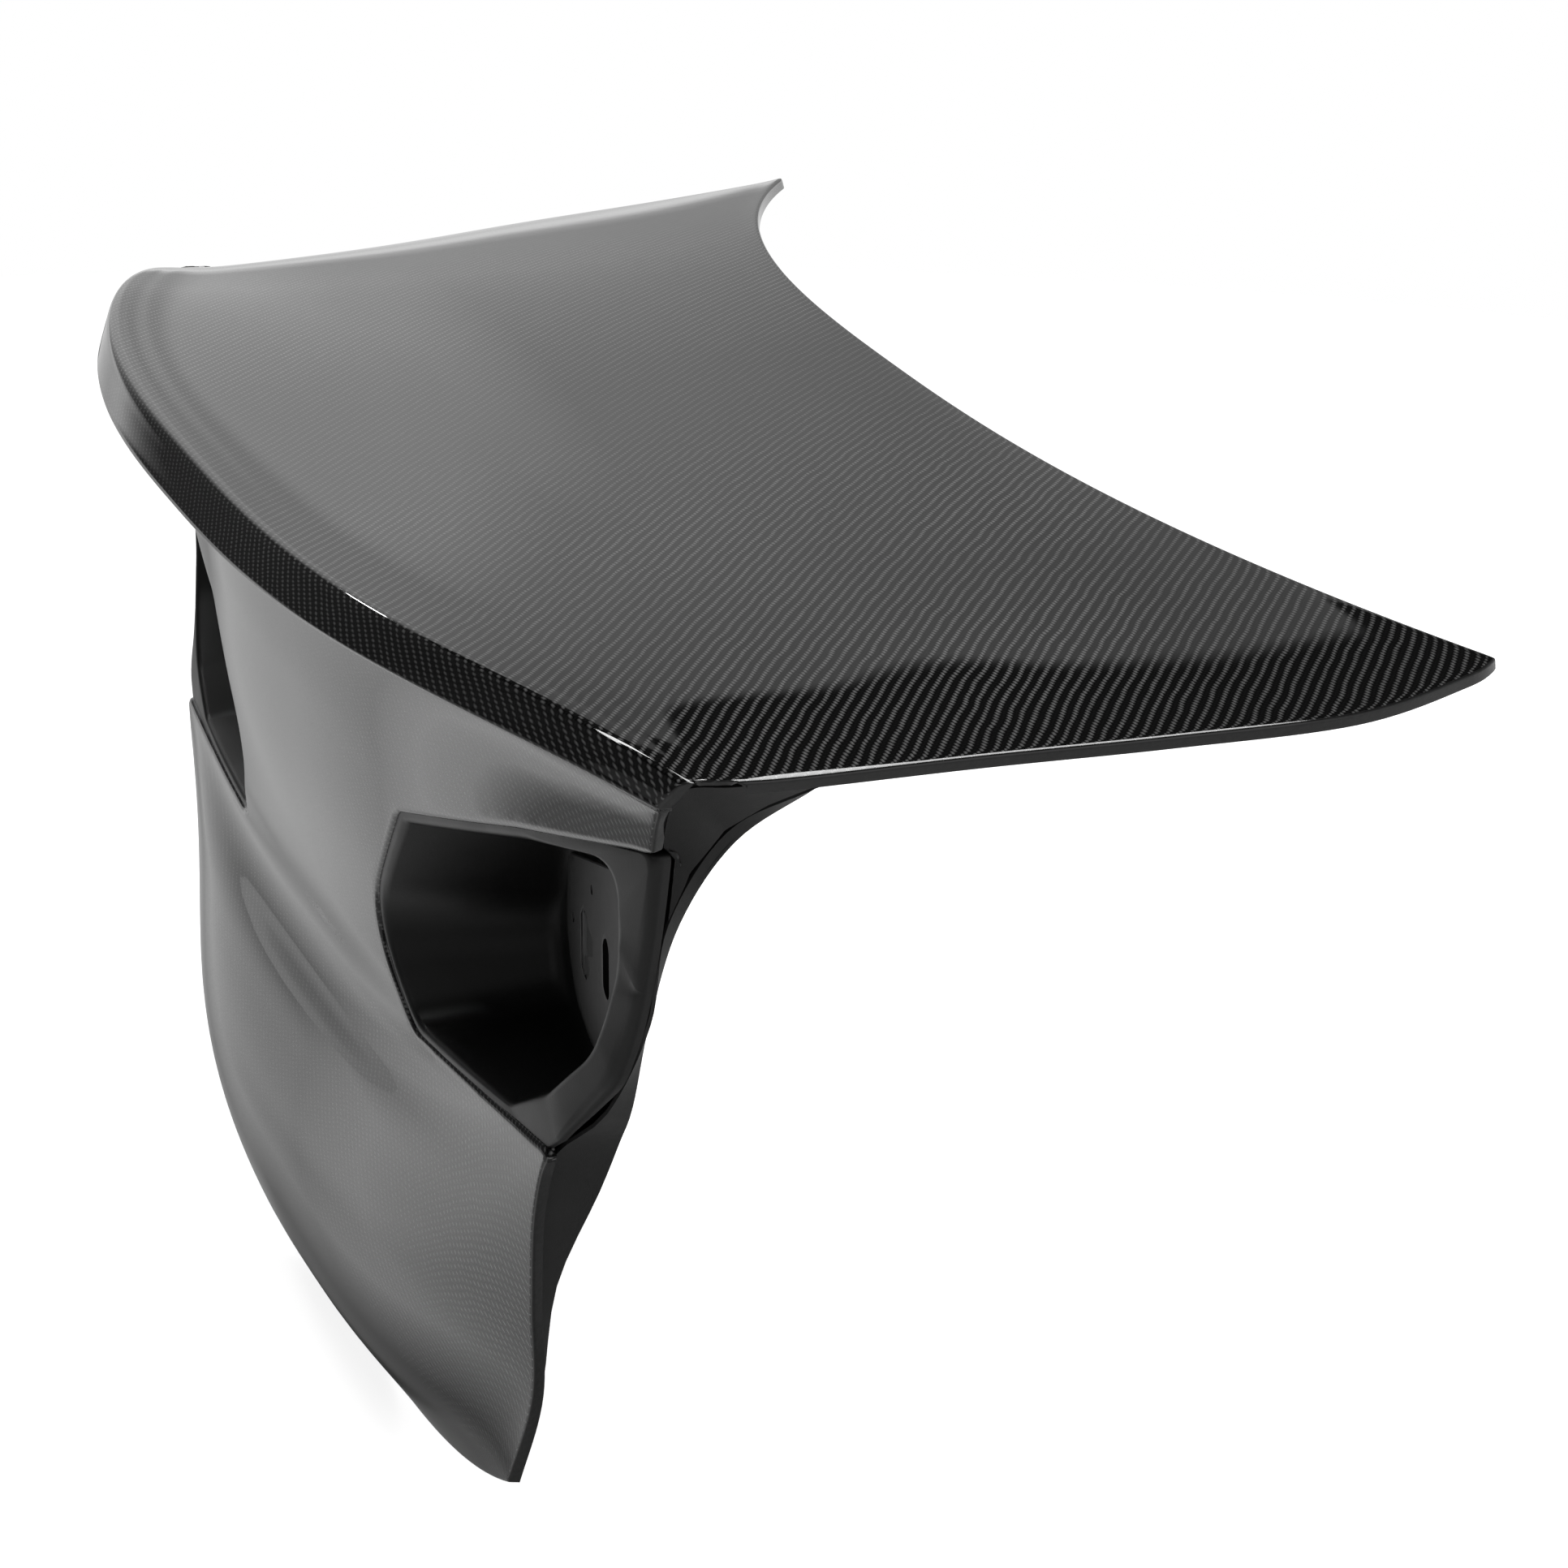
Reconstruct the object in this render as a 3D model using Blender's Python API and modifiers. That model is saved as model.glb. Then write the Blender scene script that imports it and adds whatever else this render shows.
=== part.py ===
"""Carbon-fibre boot lid for a two-door car: outer skin, inner frame, lamp pockets and fixings.

Frame: +X to the right of the car, +Y forward, +Z up, metres.  The shapes are drawn from a
datum on the centre plane, on the line that joins the two ends of the trailing lip, and the
finished part is moved so that its origin is on the face that the latch is bolted to.
"""
import math

import bmesh
import bpy
import numpy as np
from mathutils import Matrix, Vector

# ---------------------------------------------------------------- driving dimensions
SKIN = 0.0020            # carbon outer skin
MOULDING = 0.0025        # glass-fibre inner mouldings
GAP = 0.0004             # clearance between pieces that touch
BEAD = 0.0015            # adhesive between skin and frame
HEM = 0.0090             # depth of the turned edges of the skin
HEM_ROUND = 0.0030       # how far the turn takes to come round
HAT = 0.0180             # height of the frame's hat sections
SKIN_COLUMNS = 13        # columns of the skin from the centre plane to one side

# Lines that run across the car, front to rear, and that the skin is lofted through:
# half width, end y, end z, middle y, middle z, plan power, crown power, steps to the next.
SKIN_LINES = [
    (0.681, 0.5455, 0.0280, 0.3890, 0.0597, 2.5, 2.4, 2),      # edge below the rear window
    (0.691, 0.5200, 0.0215, 0.3650, 0.0600, 2.5, 2.5, 2),      # rounded front corner
    (0.705, 0.4400, 0.0105, 0.2900, 0.0590, 2.5, 2.7, 2),      # widest point
    (0.693, 0.3200, 0.0050, 0.1720, 0.0540, 2.6, 3.0, 2),
    (0.675, 0.2000, 0.0000, 0.0550, 0.0450, 2.7, 3.8, 2),
    (0.664, 0.0800, -0.0040, -0.0665, 0.0365, 2.8, 5.5, 2),    # hollow ahead of the ducktail
    (0.6585, 0.0070, -0.0010, -0.1405, 0.0370, 2.85, 7.0, 1),  # deck turns over
    (0.6580, 0.0010, -0.0022, -0.1470, 0.0358, 2.85, 7.0, 1),
    (0.6575, -0.0005, -0.0060, -0.1495, 0.0310, 2.8, 6.5, 1),  # face of the lip
    (0.6465, -0.0020, -0.0185, -0.1495, 0.0110, 2.3, 4.0, 1),  # lower edge of the lip
    (0.6430, -0.0010, -0.0210, -0.1350, 0.0070, 2.1, 4.0, 1),
    (0.6390, -0.0002, -0.0280, -0.0980, -0.0025, 2.2, 3.2, 1),  # tucked in under the lip
    (0.6235, 0.0010, -0.0550, -0.0770, -0.0340, 2.3, 2.6, 2),  # head of the lamp
    (0.5940, 0.0020, -0.1300, -0.0715, -0.1240, 2.4, 2.6, 2),
    (0.5670, -0.0010, -0.2000, -0.0660, -0.2085, 2.6, 2.6, 2),
    (0.5350, -0.0140, -0.2600, -0.0580, -0.2810, 2.6, 2.6, 2),
    (0.4940, -0.0270, -0.3000, -0.0475, -0.3435, 2.6, 2.5, 2),  # crease at the lamp's foot
    (0.4650, -0.0305, -0.3600, -0.0740, -0.4025, 2.6, 2.6, 2),
    (0.4425, -0.0265, -0.4400, -0.0945, -0.4975, 2.6, 2.6, 2),  # lower bulge
    (0.4300, -0.0235, -0.5120, -0.0712, -0.5860, 2.6, 2.6, 2),
    (0.3980, -0.0330, -0.5880, -0.0245, -0.6555, 2.6, 2.6, 1),  # bottom edge
]
LIP_LINE = 6             # first of the lines that turn the deck over into the lip

# Lines of the inner frame from the bend down to the bottom edge, in the same form.
FRAME_LINES = [
    (0.6280, 0.1080, -0.0255, -0.0200, 0.0120, 2.6, 3.5, 2),   # leaves the deck
    (0.6120, 0.0600, -0.0610, -0.0450, -0.0280, 2.6, 2.8, 2),
    (0.5880, 0.0310, -0.1210, -0.0520, -0.1100, 2.6, 2.6, 2),
    (0.5580, 0.0205, -0.1970, -0.0480, -0.2050, 2.6, 2.6, 2),
    (0.5100, 0.0240, -0.2750, -0.0340, -0.2950, 2.6, 2.6, 1),
    (0.4700, 0.0274, -0.3170, -0.0260, -0.3400, 2.6, 2.6, 1),  # deepest, at the lamp's foot
    (0.4560, 0.0175, -0.3570, -0.0340, -0.3850, 2.6, 2.6, 1),
    (0.4300, -0.0050, -0.4330, -0.0590, -0.4800, 2.6, 2.6, 1),
    (0.4165, -0.0120, -0.5120, -0.0620, -0.5800, 2.6, 2.6, 1),
    (0.3930, -0.0190, -0.5660, -0.0230, -0.6400, 2.6, 2.6, 1),  # bottom flange
]
# Where the frame's side web ends behind the skin's edge, one point (x, y, z) for each line.
WEB_EDGE = [
    (0.6470, 0.1000, -0.0190), (0.6150, 0.0535, -0.0530), (0.5935, 0.0215, -0.1190),
    (0.5640, 0.0190, -0.1970), (0.5170, 0.0045, -0.2745), (0.4750, -0.0180, -0.3170),
    (0.4590, -0.0235, -0.3570), (0.4340, -0.0180, -0.4330), (0.4205, -0.0160, -0.5120),
    (0.3975, -0.0215, -0.5670),
]
# Edge of the corner gusset along the skin, and how far along the first part of the web's
# edge, in samples of it, the point opposite lies.
GUSSET_EDGE = [
    (0.6590, 0.0960, -0.0090, 0.0), (0.6560, 0.0450, -0.0085, 1.1), (0.6535, 0.0100, -0.0090, 2.0),
    (0.6190, 0.0105, -0.0545, 2.9), (0.6120, 0.0205, -0.0640, 3.3), (0.5990, 0.0215, -0.0980, 4.0),
]
GUSSET_JOINT = 0.0038    # from the web's edge to the gusset's

# Rows of the frame's deck part, by the y of the skin line above their ends, and whether
# they lie on a hat section (1) or on a flange (0).
DECK_ROWS = [
    (0.530, 0), (0.512, 0), (0.506, 1), (0.455, 1), (0.449, 0), (0.433, 0), (0.300, 0),
    (0.286, 0), (0.280, 1), (0.236, 1), (0.230, 0), (0.216, 0), (0.158, 0), (0.144, 0),
    (0.138, 1),
]
# Columns, as a fraction of the half width, and the same mark.
FRAME_COLUMNS = [
    (0.000, 1), (0.080, 1), (0.090, 0), (0.115, 0), (0.280, 0), (0.312, 0), (0.322, 1),
    (0.395, 1), (0.405, 0), (0.427, 0), (0.588, 0), (0.614, 0), (0.775, 0), (0.797, 0),
    (0.807, 1), (0.920, 1), (0.930, 0), (0.982, 0),
]
# Windows: first and last row, first and last column of the cells left open.
WINDOWS = [(5, 6, 3, 4), (5, 6, 9, 10), (5, 6, 11, 12), (11, 12, 3, 4), (11, 12, 9, 10),
           (11, 12, 11, 12), (26, 28, 3, 4), (26, 28, 9, 10)]

REAR_HATS_FROM = -0.350  # the frame's hats stand out of the rear panel below this height

HINGE_PAD = (0.578, 0.626, 0.258, 0.362, -0.0130, 0.0080)      # low and high x, y, z
HINGE_BOLTS = [(0.602, 0.280), (0.602, 0.340)]
LATCH_PAD = (-0.032, 0.032, -0.0665, -0.0550, -0.577, -0.520)
LATCH_BOLTS = [(-0.019, -0.534), (0.019, -0.534), (0.0, -0.562)]
PLATE = 0.0020                                       # thickness of the steel plates
HINGE_NUT = (0.0065, 0.0060, 0.0034)                 # half across flats, height, bore radius
LATCH_NUT = (0.0050, 0.0050, 0.0026)

ORIGIN = (0.0, LATCH_PAD[3], -0.5450)                # on the latch face, from the datum

# Lamp opening in the skin, right side, seen from behind: (x, z, corner radius).
LAMP_OPENING = [
    (0.255, -0.1500, 0.012), (0.450, -0.0975, 0.200), (0.600, -0.0640, 0.200), (0.720, -0.0480, 0.0),
    (0.720, -0.3020, 0.0), (0.430, -0.3080, 0.100), (0.230, -0.3180, 0.035), (0.180, -0.2450, 0.120),
]
# The lamp pocket is lofted through these outlines, corner for corner: the edge of its flange
# behind the skin, its mouth, the foot of its walls, and the platform that the lamp bolts to.
POCKET_FLANGE = [
    (0.246, -0.1410, 0.012), (0.450, -0.0885, 0.150), (0.6180, -0.0610, 0.006),
    (0.5770, -0.1700, 0.200), (0.5480, -0.2430, 0.060), (0.4965, -0.2990, 0.008),
    (0.4680, -0.3190, 0.010), (0.222, -0.3310, 0.035), (0.170, -0.2450, 0.120),
]
POCKET_MOUTH = [
    (0.262, -0.1545, 0.010), (0.450, -0.1030, 0.150), (0.5750, -0.0780, 0.035),
    (0.5600, -0.1600, 0.150), (0.5250, -0.2300, 0.080), (0.4700, -0.2765, 0.050),
    (0.4150, -0.3040, 0.030), (0.235, -0.3130, 0.032), (0.187, -0.2450, 0.100),
]
POCKET_FOOT = [
    (0.296, -0.1650, 0.015), (0.450, -0.1220, 0.150), (0.5480, -0.0960, 0.030),
    (0.5410, -0.1640, 0.150), (0.5100, -0.2260, 0.080), (0.4640, -0.2640, 0.050),
    (0.4080, -0.2920, 0.030), (0.265, -0.2980, 0.035), (0.235, -0.2420, 0.080),
]
POCKET_PLATFORM = [
    (0.328, -0.1640, 0.015), (0.450, -0.1290, 0.150), (0.5420, -0.1030, 0.025),
    (0.5350, -0.1640, 0.150), (0.5040, -0.2210, 0.080), (0.4600, -0.2560, 0.050),
    (0.4080, -0.2740, 0.040), (0.350, -0.2620, 0.050), (0.318, -0.2250, 0.080),
]
PLATFORM_Y = 0.012       # face of the platform at its outboard end
PLATFORM_RAKE = 0.12     # how fast it runs forward towards the centre plane
PLATFORM_HEIGHT = 0.011  # above the pocket's floor, where the pocket is deep enough
SKIRT = 0.013            # how far the flange's outer end turns forward, round to the web
SKIRT_ROUND = 0.007
SLOTS = [(0.387, -0.208, 0.015), (0.462, -0.197, 0.012)]     # blind: x, z, half of straight part
SLOT_RADIUS = 0.009
SLOT_DEPTH = 0.006
CUP_BITE = 0.0055        # how far the cup behind a slot reaches into the platform
STUD_HOLES = [(0.345, -0.205), (0.413, -0.160), (0.470, -0.235)]

# Finishes: base colour, roughness, metallic.
CARBON = ((0.012, 0.012, 0.013), 0.12, 0.0)
MOULDED = ((0.014, 0.014, 0.014), 0.45, 0.0)
ADHESIVE = ((0.030, 0.030, 0.030), 0.70, 0.0)
ZINC = ((0.550, 0.550, 0.530), 0.35, 1.0)

SIDES = ((1, "right"), (-1, "left"))


def clear_scene():
    for item in list(bpy.data.objects):
        bpy.data.objects.remove(item, do_unlink=True)


# ---------------------------------------------------------------- curves and surfaces
def through(rows, steps):
    """A Catmull-Rom curve through rows of numbers, with steps[i] samples in span i."""
    rows = np.asarray(rows, float)
    ends = np.vstack([2 * rows[0] - rows[1], rows, 2 * rows[-1] - rows[-2]])
    out = []
    for i in range(len(rows) - 1):
        a, b, c, d = ends[i:i + 4]
        for k in range(steps[i]):
            s = k / steps[i]
            out.append(0.5 * (2 * b + (c - a) * s + (2 * a - 5 * b + 4 * c - d) * s ** 2
                              + (3 * b - a - 3 * c + d) * s ** 3))
    out.append(rows[-1])
    return np.array(out)


def line_table(lines, finer=1):
    rows = np.array(lines, float)
    return through(rows[:, :7], [int(steps) * finer for steps in rows[:, 7]])


def across(line, t):
    """Point of a line that runs across the car, at t from -1 (left end) to 1 (right end)."""
    half, end_y, end_z, mid_y, mid_z, plan, crown = line
    return np.array([half * t,
                     mid_y + (end_y - mid_y) * abs(t) ** plan,
                     mid_z + (end_z - mid_z) * abs(t) ** crown])


SKIN_TABLE = line_table(SKIN_LINES)
FINE_TABLE = line_table(SKIN_LINES, 6)
FINE_T = np.linspace(0, 1, 90)
FINE_SKIN = np.array([[across(line, t) for t in FINE_T] for line in FINE_TABLE])


def rear_skin_y(x, z):
    """How far back the rear face of the skin is at a place seen from behind."""
    rear = FINE_SKIN[6 * sum(line[7] for line in SKIN_LINES[:LIP_LINE + 3]):].reshape(-1, 3)
    gap = (rear[:, 0] - abs(x)) ** 2 + (rear[:, 2] - z) ** 2
    near = np.argsort(gap)[:4]
    weight = 1 / (gap[near] + 1e-8)
    return float((rear[near, 1] * weight).sum() / weight.sum())


def rounded(outline, segments=3):
    """Points of a closed outline of (x, z, corner radius), corners turned as arcs."""
    out = []
    count = len(outline)
    for i, (x, z, radius) in enumerate(outline):
        corner = Vector((x, z))
        if radius == 0:
            out.append(corner)
            continue
        before = Vector(outline[i - 1][:2]) - corner
        after = Vector(outline[(i + 1) % count][:2]) - corner
        half = before.angle(after) / 2
        reach = min(radius / math.tan(half), before.length * 0.45, after.length * 0.45)
        start, end = corner + before.normalized() * reach, corner + after.normalized() * reach
        for k in range(segments + 1):
            s = k / segments
            out.append(start * (1 - s) ** 2 + corner * 2 * s * (1 - s) + end * s ** 2)
    return out


# ---------------------------------------------------------------- objects
def material(name, colour, roughness, metallic):
    made = bpy.data.materials.new(name)
    made.use_nodes = True
    shader = made.node_tree.nodes["Principled BSDF"]
    shader.inputs["Base Color"].default_value = (*colour, 1)
    shader.inputs["Roughness"].default_value = roughness
    shader.inputs["Metallic"].default_value = metallic
    return made


def add_object(name, bm, group, finish=None):
    """New object of a bmesh drawn from the datum, with a material of its own if it has a finish."""
    bmesh.ops.translate(bm, verts=bm.verts[:], vec=-Vector(ORIGIN))
    mesh = bpy.data.meshes.new(name)
    bm.to_mesh(mesh)
    bm.free()
    item = bpy.data.objects.new(name, mesh)
    group.objects.link(item)
    if finish:
        mesh.materials.append(material(name, *finish))
        mesh.shade_smooth()
        mesh.set_sharp_from_angle(angle=math.radians(40))
    return item


def grid_bmesh(grid, skip=None):
    """Faces between the rows and columns of a grid of points, facing up or back."""
    bm = bmesh.new()
    verts = [[bm.verts.new(point) for point in row] for row in grid]
    for i in range(len(grid) - 1):
        for j in range(len(grid[0]) - 1):
            if skip and skip(i, j):
                continue
            bm.faces.new((verts[i][j], verts[i + 1][j], verts[i + 1][j + 1], verts[i][j + 1]))
    for vert in [v for v in bm.verts if not v.link_faces]:
        bm.verts.remove(vert)
    bm.normal_update()
    return bm


def solidify(item, thickness, even=True):
    """Gives an open sheet its thickness, on the side away from its face."""
    shell = item.modifiers.new("thickness", "SOLIDIFY")
    shell.thickness = thickness
    shell.offset = -1
    shell.use_even_offset = even


def mirror(item):
    both = item.modifiers.new("both sides", "MIRROR")
    both.use_axis = (True, False, False)
    both.use_clip = True
    both.merge_threshold = 0.0001


def cut(item, cutter):
    bite = item.modifiers.new(cutter.name, "BOOLEAN")
    bite.operation = "DIFFERENCE"
    bite.solver = "EXACT"
    bite.object = cutter


def join(item, other):
    weld = item.modifiers.new(other.name, "BOOLEAN")
    weld.operation = "UNION"
    weld.solver = "EXACT"
    weld.object = other


def tool(item):
    """Marks an object as one that only shapes others."""
    item.hide_render = True
    item.display_type = "WIRE"
    return item


def block(name, box, group, finish=None):
    """Box from its low and high x, y and z: a part if it has a finish, otherwise a tool."""
    low = Vector(box[0::2])
    high = Vector(box[1::2])
    bm = bmesh.new()
    bmesh.ops.create_cube(bm, size=1)
    for vert in bm.verts:
        vert.co = Vector([low[k] + (vert.co[k] + 0.5) * (high[k] - low[k]) for k in range(3)])
    made = add_object(name, bm, group, finish)
    return made if finish else tool(made)


def rod(name, centre, axis, radius, length, group, segments=16):
    """Cylinder tool along Y or Z, for round holes."""
    bm = bmesh.new()
    bmesh.ops.create_cone(bm, cap_ends=True, segments=segments, radius1=radius, radius2=radius,
                          depth=length)
    if axis == "Y":
        bmesh.ops.rotate(bm, verts=bm.verts[:], matrix=Matrix.Rotation(math.pi / 2, 3, "X"))
    bmesh.ops.translate(bm, verts=bm.verts[:], vec=centre)
    return tool(add_object(name, bm, group))


def nut(name, seat, axis, size, parts, cutters, finish):
    """Weld nut with an open bore, standing on its seat along Z or -Y."""
    half_across_flats, height, bore = size
    corner = half_across_flats / math.cos(math.pi / 6)
    bm = bmesh.new()
    bmesh.ops.create_cone(bm, cap_ends=True, segments=6, radius1=corner, radius2=corner, depth=height)
    bmesh.ops.translate(bm, verts=bm.verts[:], vec=(0, 0, height / 2))
    if axis == "-Y":
        bmesh.ops.rotate(bm, verts=bm.verts[:], matrix=Matrix.Rotation(math.pi / 2, 3, "X"))
    bmesh.ops.translate(bm, verts=bm.verts[:], vec=seat)
    made = add_object(name, bm, parts, finish)
    cut(made, rod(name + "_bore", seat, axis[-1], bore, 4 * height, cutters, segments=8))


def prism(name, outline, low, high, group):
    """Tool with an outline of (x, z) points, from one y to another."""
    bm = bmesh.new()
    face = bm.faces.new([bm.verts.new((x, low, z)) for x, z in outline])
    swept = bmesh.ops.extrude_face_region(bm, geom=[face])["geom"]
    far_end = [item for item in swept if isinstance(item, bmesh.types.BMVert)]
    bmesh.ops.translate(bm, verts=far_end, vec=(0, high - low, 0))
    bmesh.ops.recalc_face_normals(bm, faces=bm.faces[:])
    return tool(add_object(name, bm, group))


# ---------------------------------------------------------------- outer skin
def outer_skin(parts, cutters, finish):
    """Half skin lofted through the lines, its edges turned in, mirrored and thickened."""
    spread = [1 - (1 - k / SKIN_COLUMNS) ** 1.25 for k in range(SKIN_COLUMNS + 1)]
    grid = np.array([[across(line, t) for t in spread] for line in SKIN_TABLE])
    bm = grid_bmesh(grid)
    rim = [edge for edge in bm.edges if edge.is_boundary
           and max(v.co.x for v in edge.verts) > 1e-5]
    before = {v: v.normal.copy() for edge in rim for v in edge.verts}
    made = bmesh.ops.extrude_edge_only(bm, edges=rim)["geom"]
    for vert in [v for v in made if isinstance(v, bmesh.types.BMVert)]:
        source = min(before, key=lambda v: (v.co - vert.co).length)
        shift = -before[source] * HEM
        if source.co.x < 1e-5:
            shift.x = 0
        vert.co += shift
    bm.normal_update()
    bmesh.ops.bevel(bm, geom=rim, offset=HEM_ROUND, segments=2, profile=0.5,
                    affect="EDGES", offset_type="OFFSET")
    skin = add_object("outer_skin", bm, parts, finish)
    mirror(skin)
    solidify(skin, SKIN, even=False)
    for side, name in SIDES:
        outline = [(side * p.x, p.y) for p in rounded(LAMP_OPENING)]
        cut(skin, prism("lamp_cut_" + name, outline, -0.20, 0.09, cutters))
    return skin


# ---------------------------------------------------------------- inner frame
def skin_line_at(end_y):
    """The line of the skin's deck whose ends are at a given y."""
    deck = FINE_TABLE[:6 * sum(line[7] for line in SKIN_LINES[:LIP_LINE])]
    return [np.interp(-end_y, -deck[:, 1], deck[:, k]) for k in range(7)]


def frame_grid():
    """Half of the frame's visible face: deck rows under the skin, then the rear rows."""
    flange_depth = SKIN + BEAD + MOULDING + 4 * GAP
    grid = []
    for end_y, on_hat in DECK_ROWS:
        line = skin_line_at(end_y)
        row = []
        for t, column_hat in FRAME_COLUMNS:
            depth = flange_depth + HAT * max(on_hat if t < 0.925 else 0, column_hat)
            row.append(across(line, t) - np.array([0, 0, depth]))
        grid.append(row)
    steps = [int(line[7]) for line in FRAME_LINES]
    webs = through(WEB_EDGE, steps)
    rear = line_table(FRAME_LINES)
    for line, web in zip(rear, webs):
        row = [across(line, t) for t, _ in FRAME_COLUMNS[:-3]]
        if line[2] < REAR_HATS_FROM:
            last = line is rear[-1]
            for point, (_, column_hat) in zip(row, FRAME_COLUMNS):
                if last or not column_hat:
                    point[1] = rear_skin_y(point[0], point[2]) + flange_depth * 1.15
        row += [across(line, 0.975), across(line, 1.0), web]
        grid.append(row)
    return np.array(grid)


def inner_frame(parts, cutters, finish):
    grid = frame_grid()

    def in_window(i, j):
        return any(a <= i < b and c <= j < d for a, b, c, d in WINDOWS)

    bm = grid_bmesh(grid, in_window)
    bmesh.ops.reverse_faces(bm, faces=bm.faces[:])
    frame = add_object("inner_frame", bm, parts, finish)
    mirror(frame)
    solidify(frame, MOULDING)
    for side, name in SIDES:
        outline = [(side * p.x, p.y) for p in rounded(grown(POCKET_MOUTH, 0.006))]
        cut(frame, prism("pocket_clearance_" + name, outline, -0.20, 0.09, cutters))
        low_x, high_x = sorted((side * HINGE_PAD[0], side * HINGE_PAD[1]))
        join(frame, block("hinge_boss_" + name, (low_x, high_x, *HINGE_PAD[2:]), cutters))
        for k, (x, y) in enumerate(HINGE_BOLTS):
            cut(frame, rod(f"hinge_hole_{name}_{k}", (side * x, y, 0), "Z", 0.0045, 0.06, cutters))
    join(frame, block("latch_boss", LATCH_PAD, cutters))
    for k, (x, z) in enumerate(LATCH_BOLTS):
        cut(frame, rod(f"latch_hole_{k}", (x, -0.06, z), "Y", 0.0035, 0.05, cutters))
    return frame


# ---------------------------------------------------------------- lamp pockets and gussets
def grown(outline, by):
    """An outline of (x, z, radius) pushed out from its middle by a distance."""
    middle = Vector((sum(p[0] for p in outline), sum(p[1] for p in outline))) / len(outline)
    out = []
    for x, z, radius in outline:
        away = (Vector((x, z)) - middle).normalized() * by * 1.3
        out.append((x + away.x, z + away.y, radius))
    return out


def platform_y(x):
    return PLATFORM_Y + (0.545 - x) * PLATFORM_RAKE


def pocket_loops():
    """Outlines of the right pocket from the edge of its flange to its platform, in space."""
    flange, mouth, foot, platform = [
        [(p.x, p.y) for p in rounded(outline)]
        for outline in (POCKET_FLANGE, POCKET_MOUTH, POCKET_FOOT, POCKET_PLATFORM)]
    loops = [[] for _ in range(7)]
    for edge, lip, low, top in zip(flange, mouth, foot, platform):
        outboard = min(1, max(0, (edge[0] - 0.46) / 0.08))
        face = rear_skin_y(*edge) + SKIN + 2 * GAP
        inset = (Vector(lip) - Vector(edge)).normalized() * SKIRT_ROUND * outboard
        turned = Vector(edge) + inset * 0.3
        shoulder = Vector(edge) + inset
        loops[0].append((edge[0] - 0.002 * outboard, face + 0.001 + SKIRT * outboard, edge[1]))
        loops[1].append((edge[0], face + 0.0005 + SKIRT_ROUND * outboard, edge[1]))
        loops[2].append((turned.x, face + 0.3 * SKIRT_ROUND * outboard, turned.y))
        loops[3].append((shoulder.x + 0.0005, face, shoulder.y))
        loops[4].append((lip[0], rear_skin_y(*lip) + SKIN + 2 * GAP, lip[1]))
        depth = PLATFORM_HEIGHT * min(1, max(0, (0.53 - low[0]) / 0.08))
        loops[5].append((low[0], platform_y(low[0]) + depth, low[1]))
        base = Vector(top) + (Vector(low) - Vector(top)).normalized() * 0.0025
        loops[6].append((base.x, platform_y(base.x) + depth, base.y))
    loops.append([(x, platform_y(x), z) for x, z in platform])
    return loops


def slot_outline(x, z, half, radius):
    """Upright slot with round ends, whose straight part is half long each way."""
    turns = [math.tau * (i + 0.5) / 12 for i in range(12)]
    return [(x + radius * math.cos(a), z + math.copysign(half, math.sin(a)) + radius * math.sin(a))
            for a in turns]


def pocket(side, name, parts, cutters, finish):
    """Moulded lamp pocket: flange behind the skin, mouth, walls, floor and raised platform."""
    bm = bmesh.new()
    rings = [[bm.verts.new((side * x, y, z)) for x, y, z in loop] for loop in pocket_loops()]
    count = len(rings[0])
    for ring, inner in zip(rings, rings[1:]):
        for k in range(count):
            n = (k + 1) % count
            bm.faces.new((ring[k], ring[n], inner[n], inner[k]))
    bm.faces.new(rings[-1])
    bmesh.ops.recalc_face_normals(bm, faces=bm.faces[:])
    if sum(f.normal.y for f in bm.faces) > 0:
        bmesh.ops.reverse_faces(bm, faces=bm.faces[:])
    made = add_object("lamp_pocket_" + name, bm, parts, finish)
    solidify(made, MOULDING)
    for k, (x, z, half) in enumerate(SLOTS):
        bottom = platform_y(x) + SLOT_DEPTH
        cup, hollow = [slot_outline(side * x, z, half, radius)
                       for radius in (SLOT_RADIUS + MOULDING, SLOT_RADIUS)]
        join(made, prism(f"slot_cup_{name}_{k}", cup, bottom - CUP_BITE, bottom + MOULDING, cutters))
        cut(made, prism(f"slot_{name}_{k}", hollow, bottom - 2 * SLOT_DEPTH, bottom, cutters))
    for k, (x, z) in enumerate(STUD_HOLES):
        cut(made, rod(f"stud_hole_{name}_{k}", (side * x, 0.04, z), "Y", 0.0035, 0.08, cutters))
    return made


def gusset(side, name, parts, finish):
    """Plate that closes the corner between the deck, the rear face and the frame's web."""
    steps = [int(line[7]) for line in FRAME_LINES]
    curve = through(WEB_EDGE, steps)
    top = np.array(GUSSET_EDGE)[:, :3]
    places = [point[3] for point in GUSSET_EDGE]
    web = np.array([np.interp(places, range(len(curve)), curve[:, k]) for k in range(3)]).T
    reach = np.linalg.norm(top - web, axis=1, keepdims=True)
    web = web + (top - web) / reach * GUSSET_JOINT
    grid = np.array([top * (1 - s) + web * s for s in (0, 0.5, 1)])
    grid[:, :, 0] *= side
    bm = grid_bmesh(grid)
    if sum(f.normal.x for f in bm.faces) * side < 0:
        bmesh.ops.reverse_faces(bm, faces=bm.faces[:])
    plate = add_object("corner_gusset_" + name, bm, parts, finish)
    solidify(plate, MOULDING)
    return plate


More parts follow.
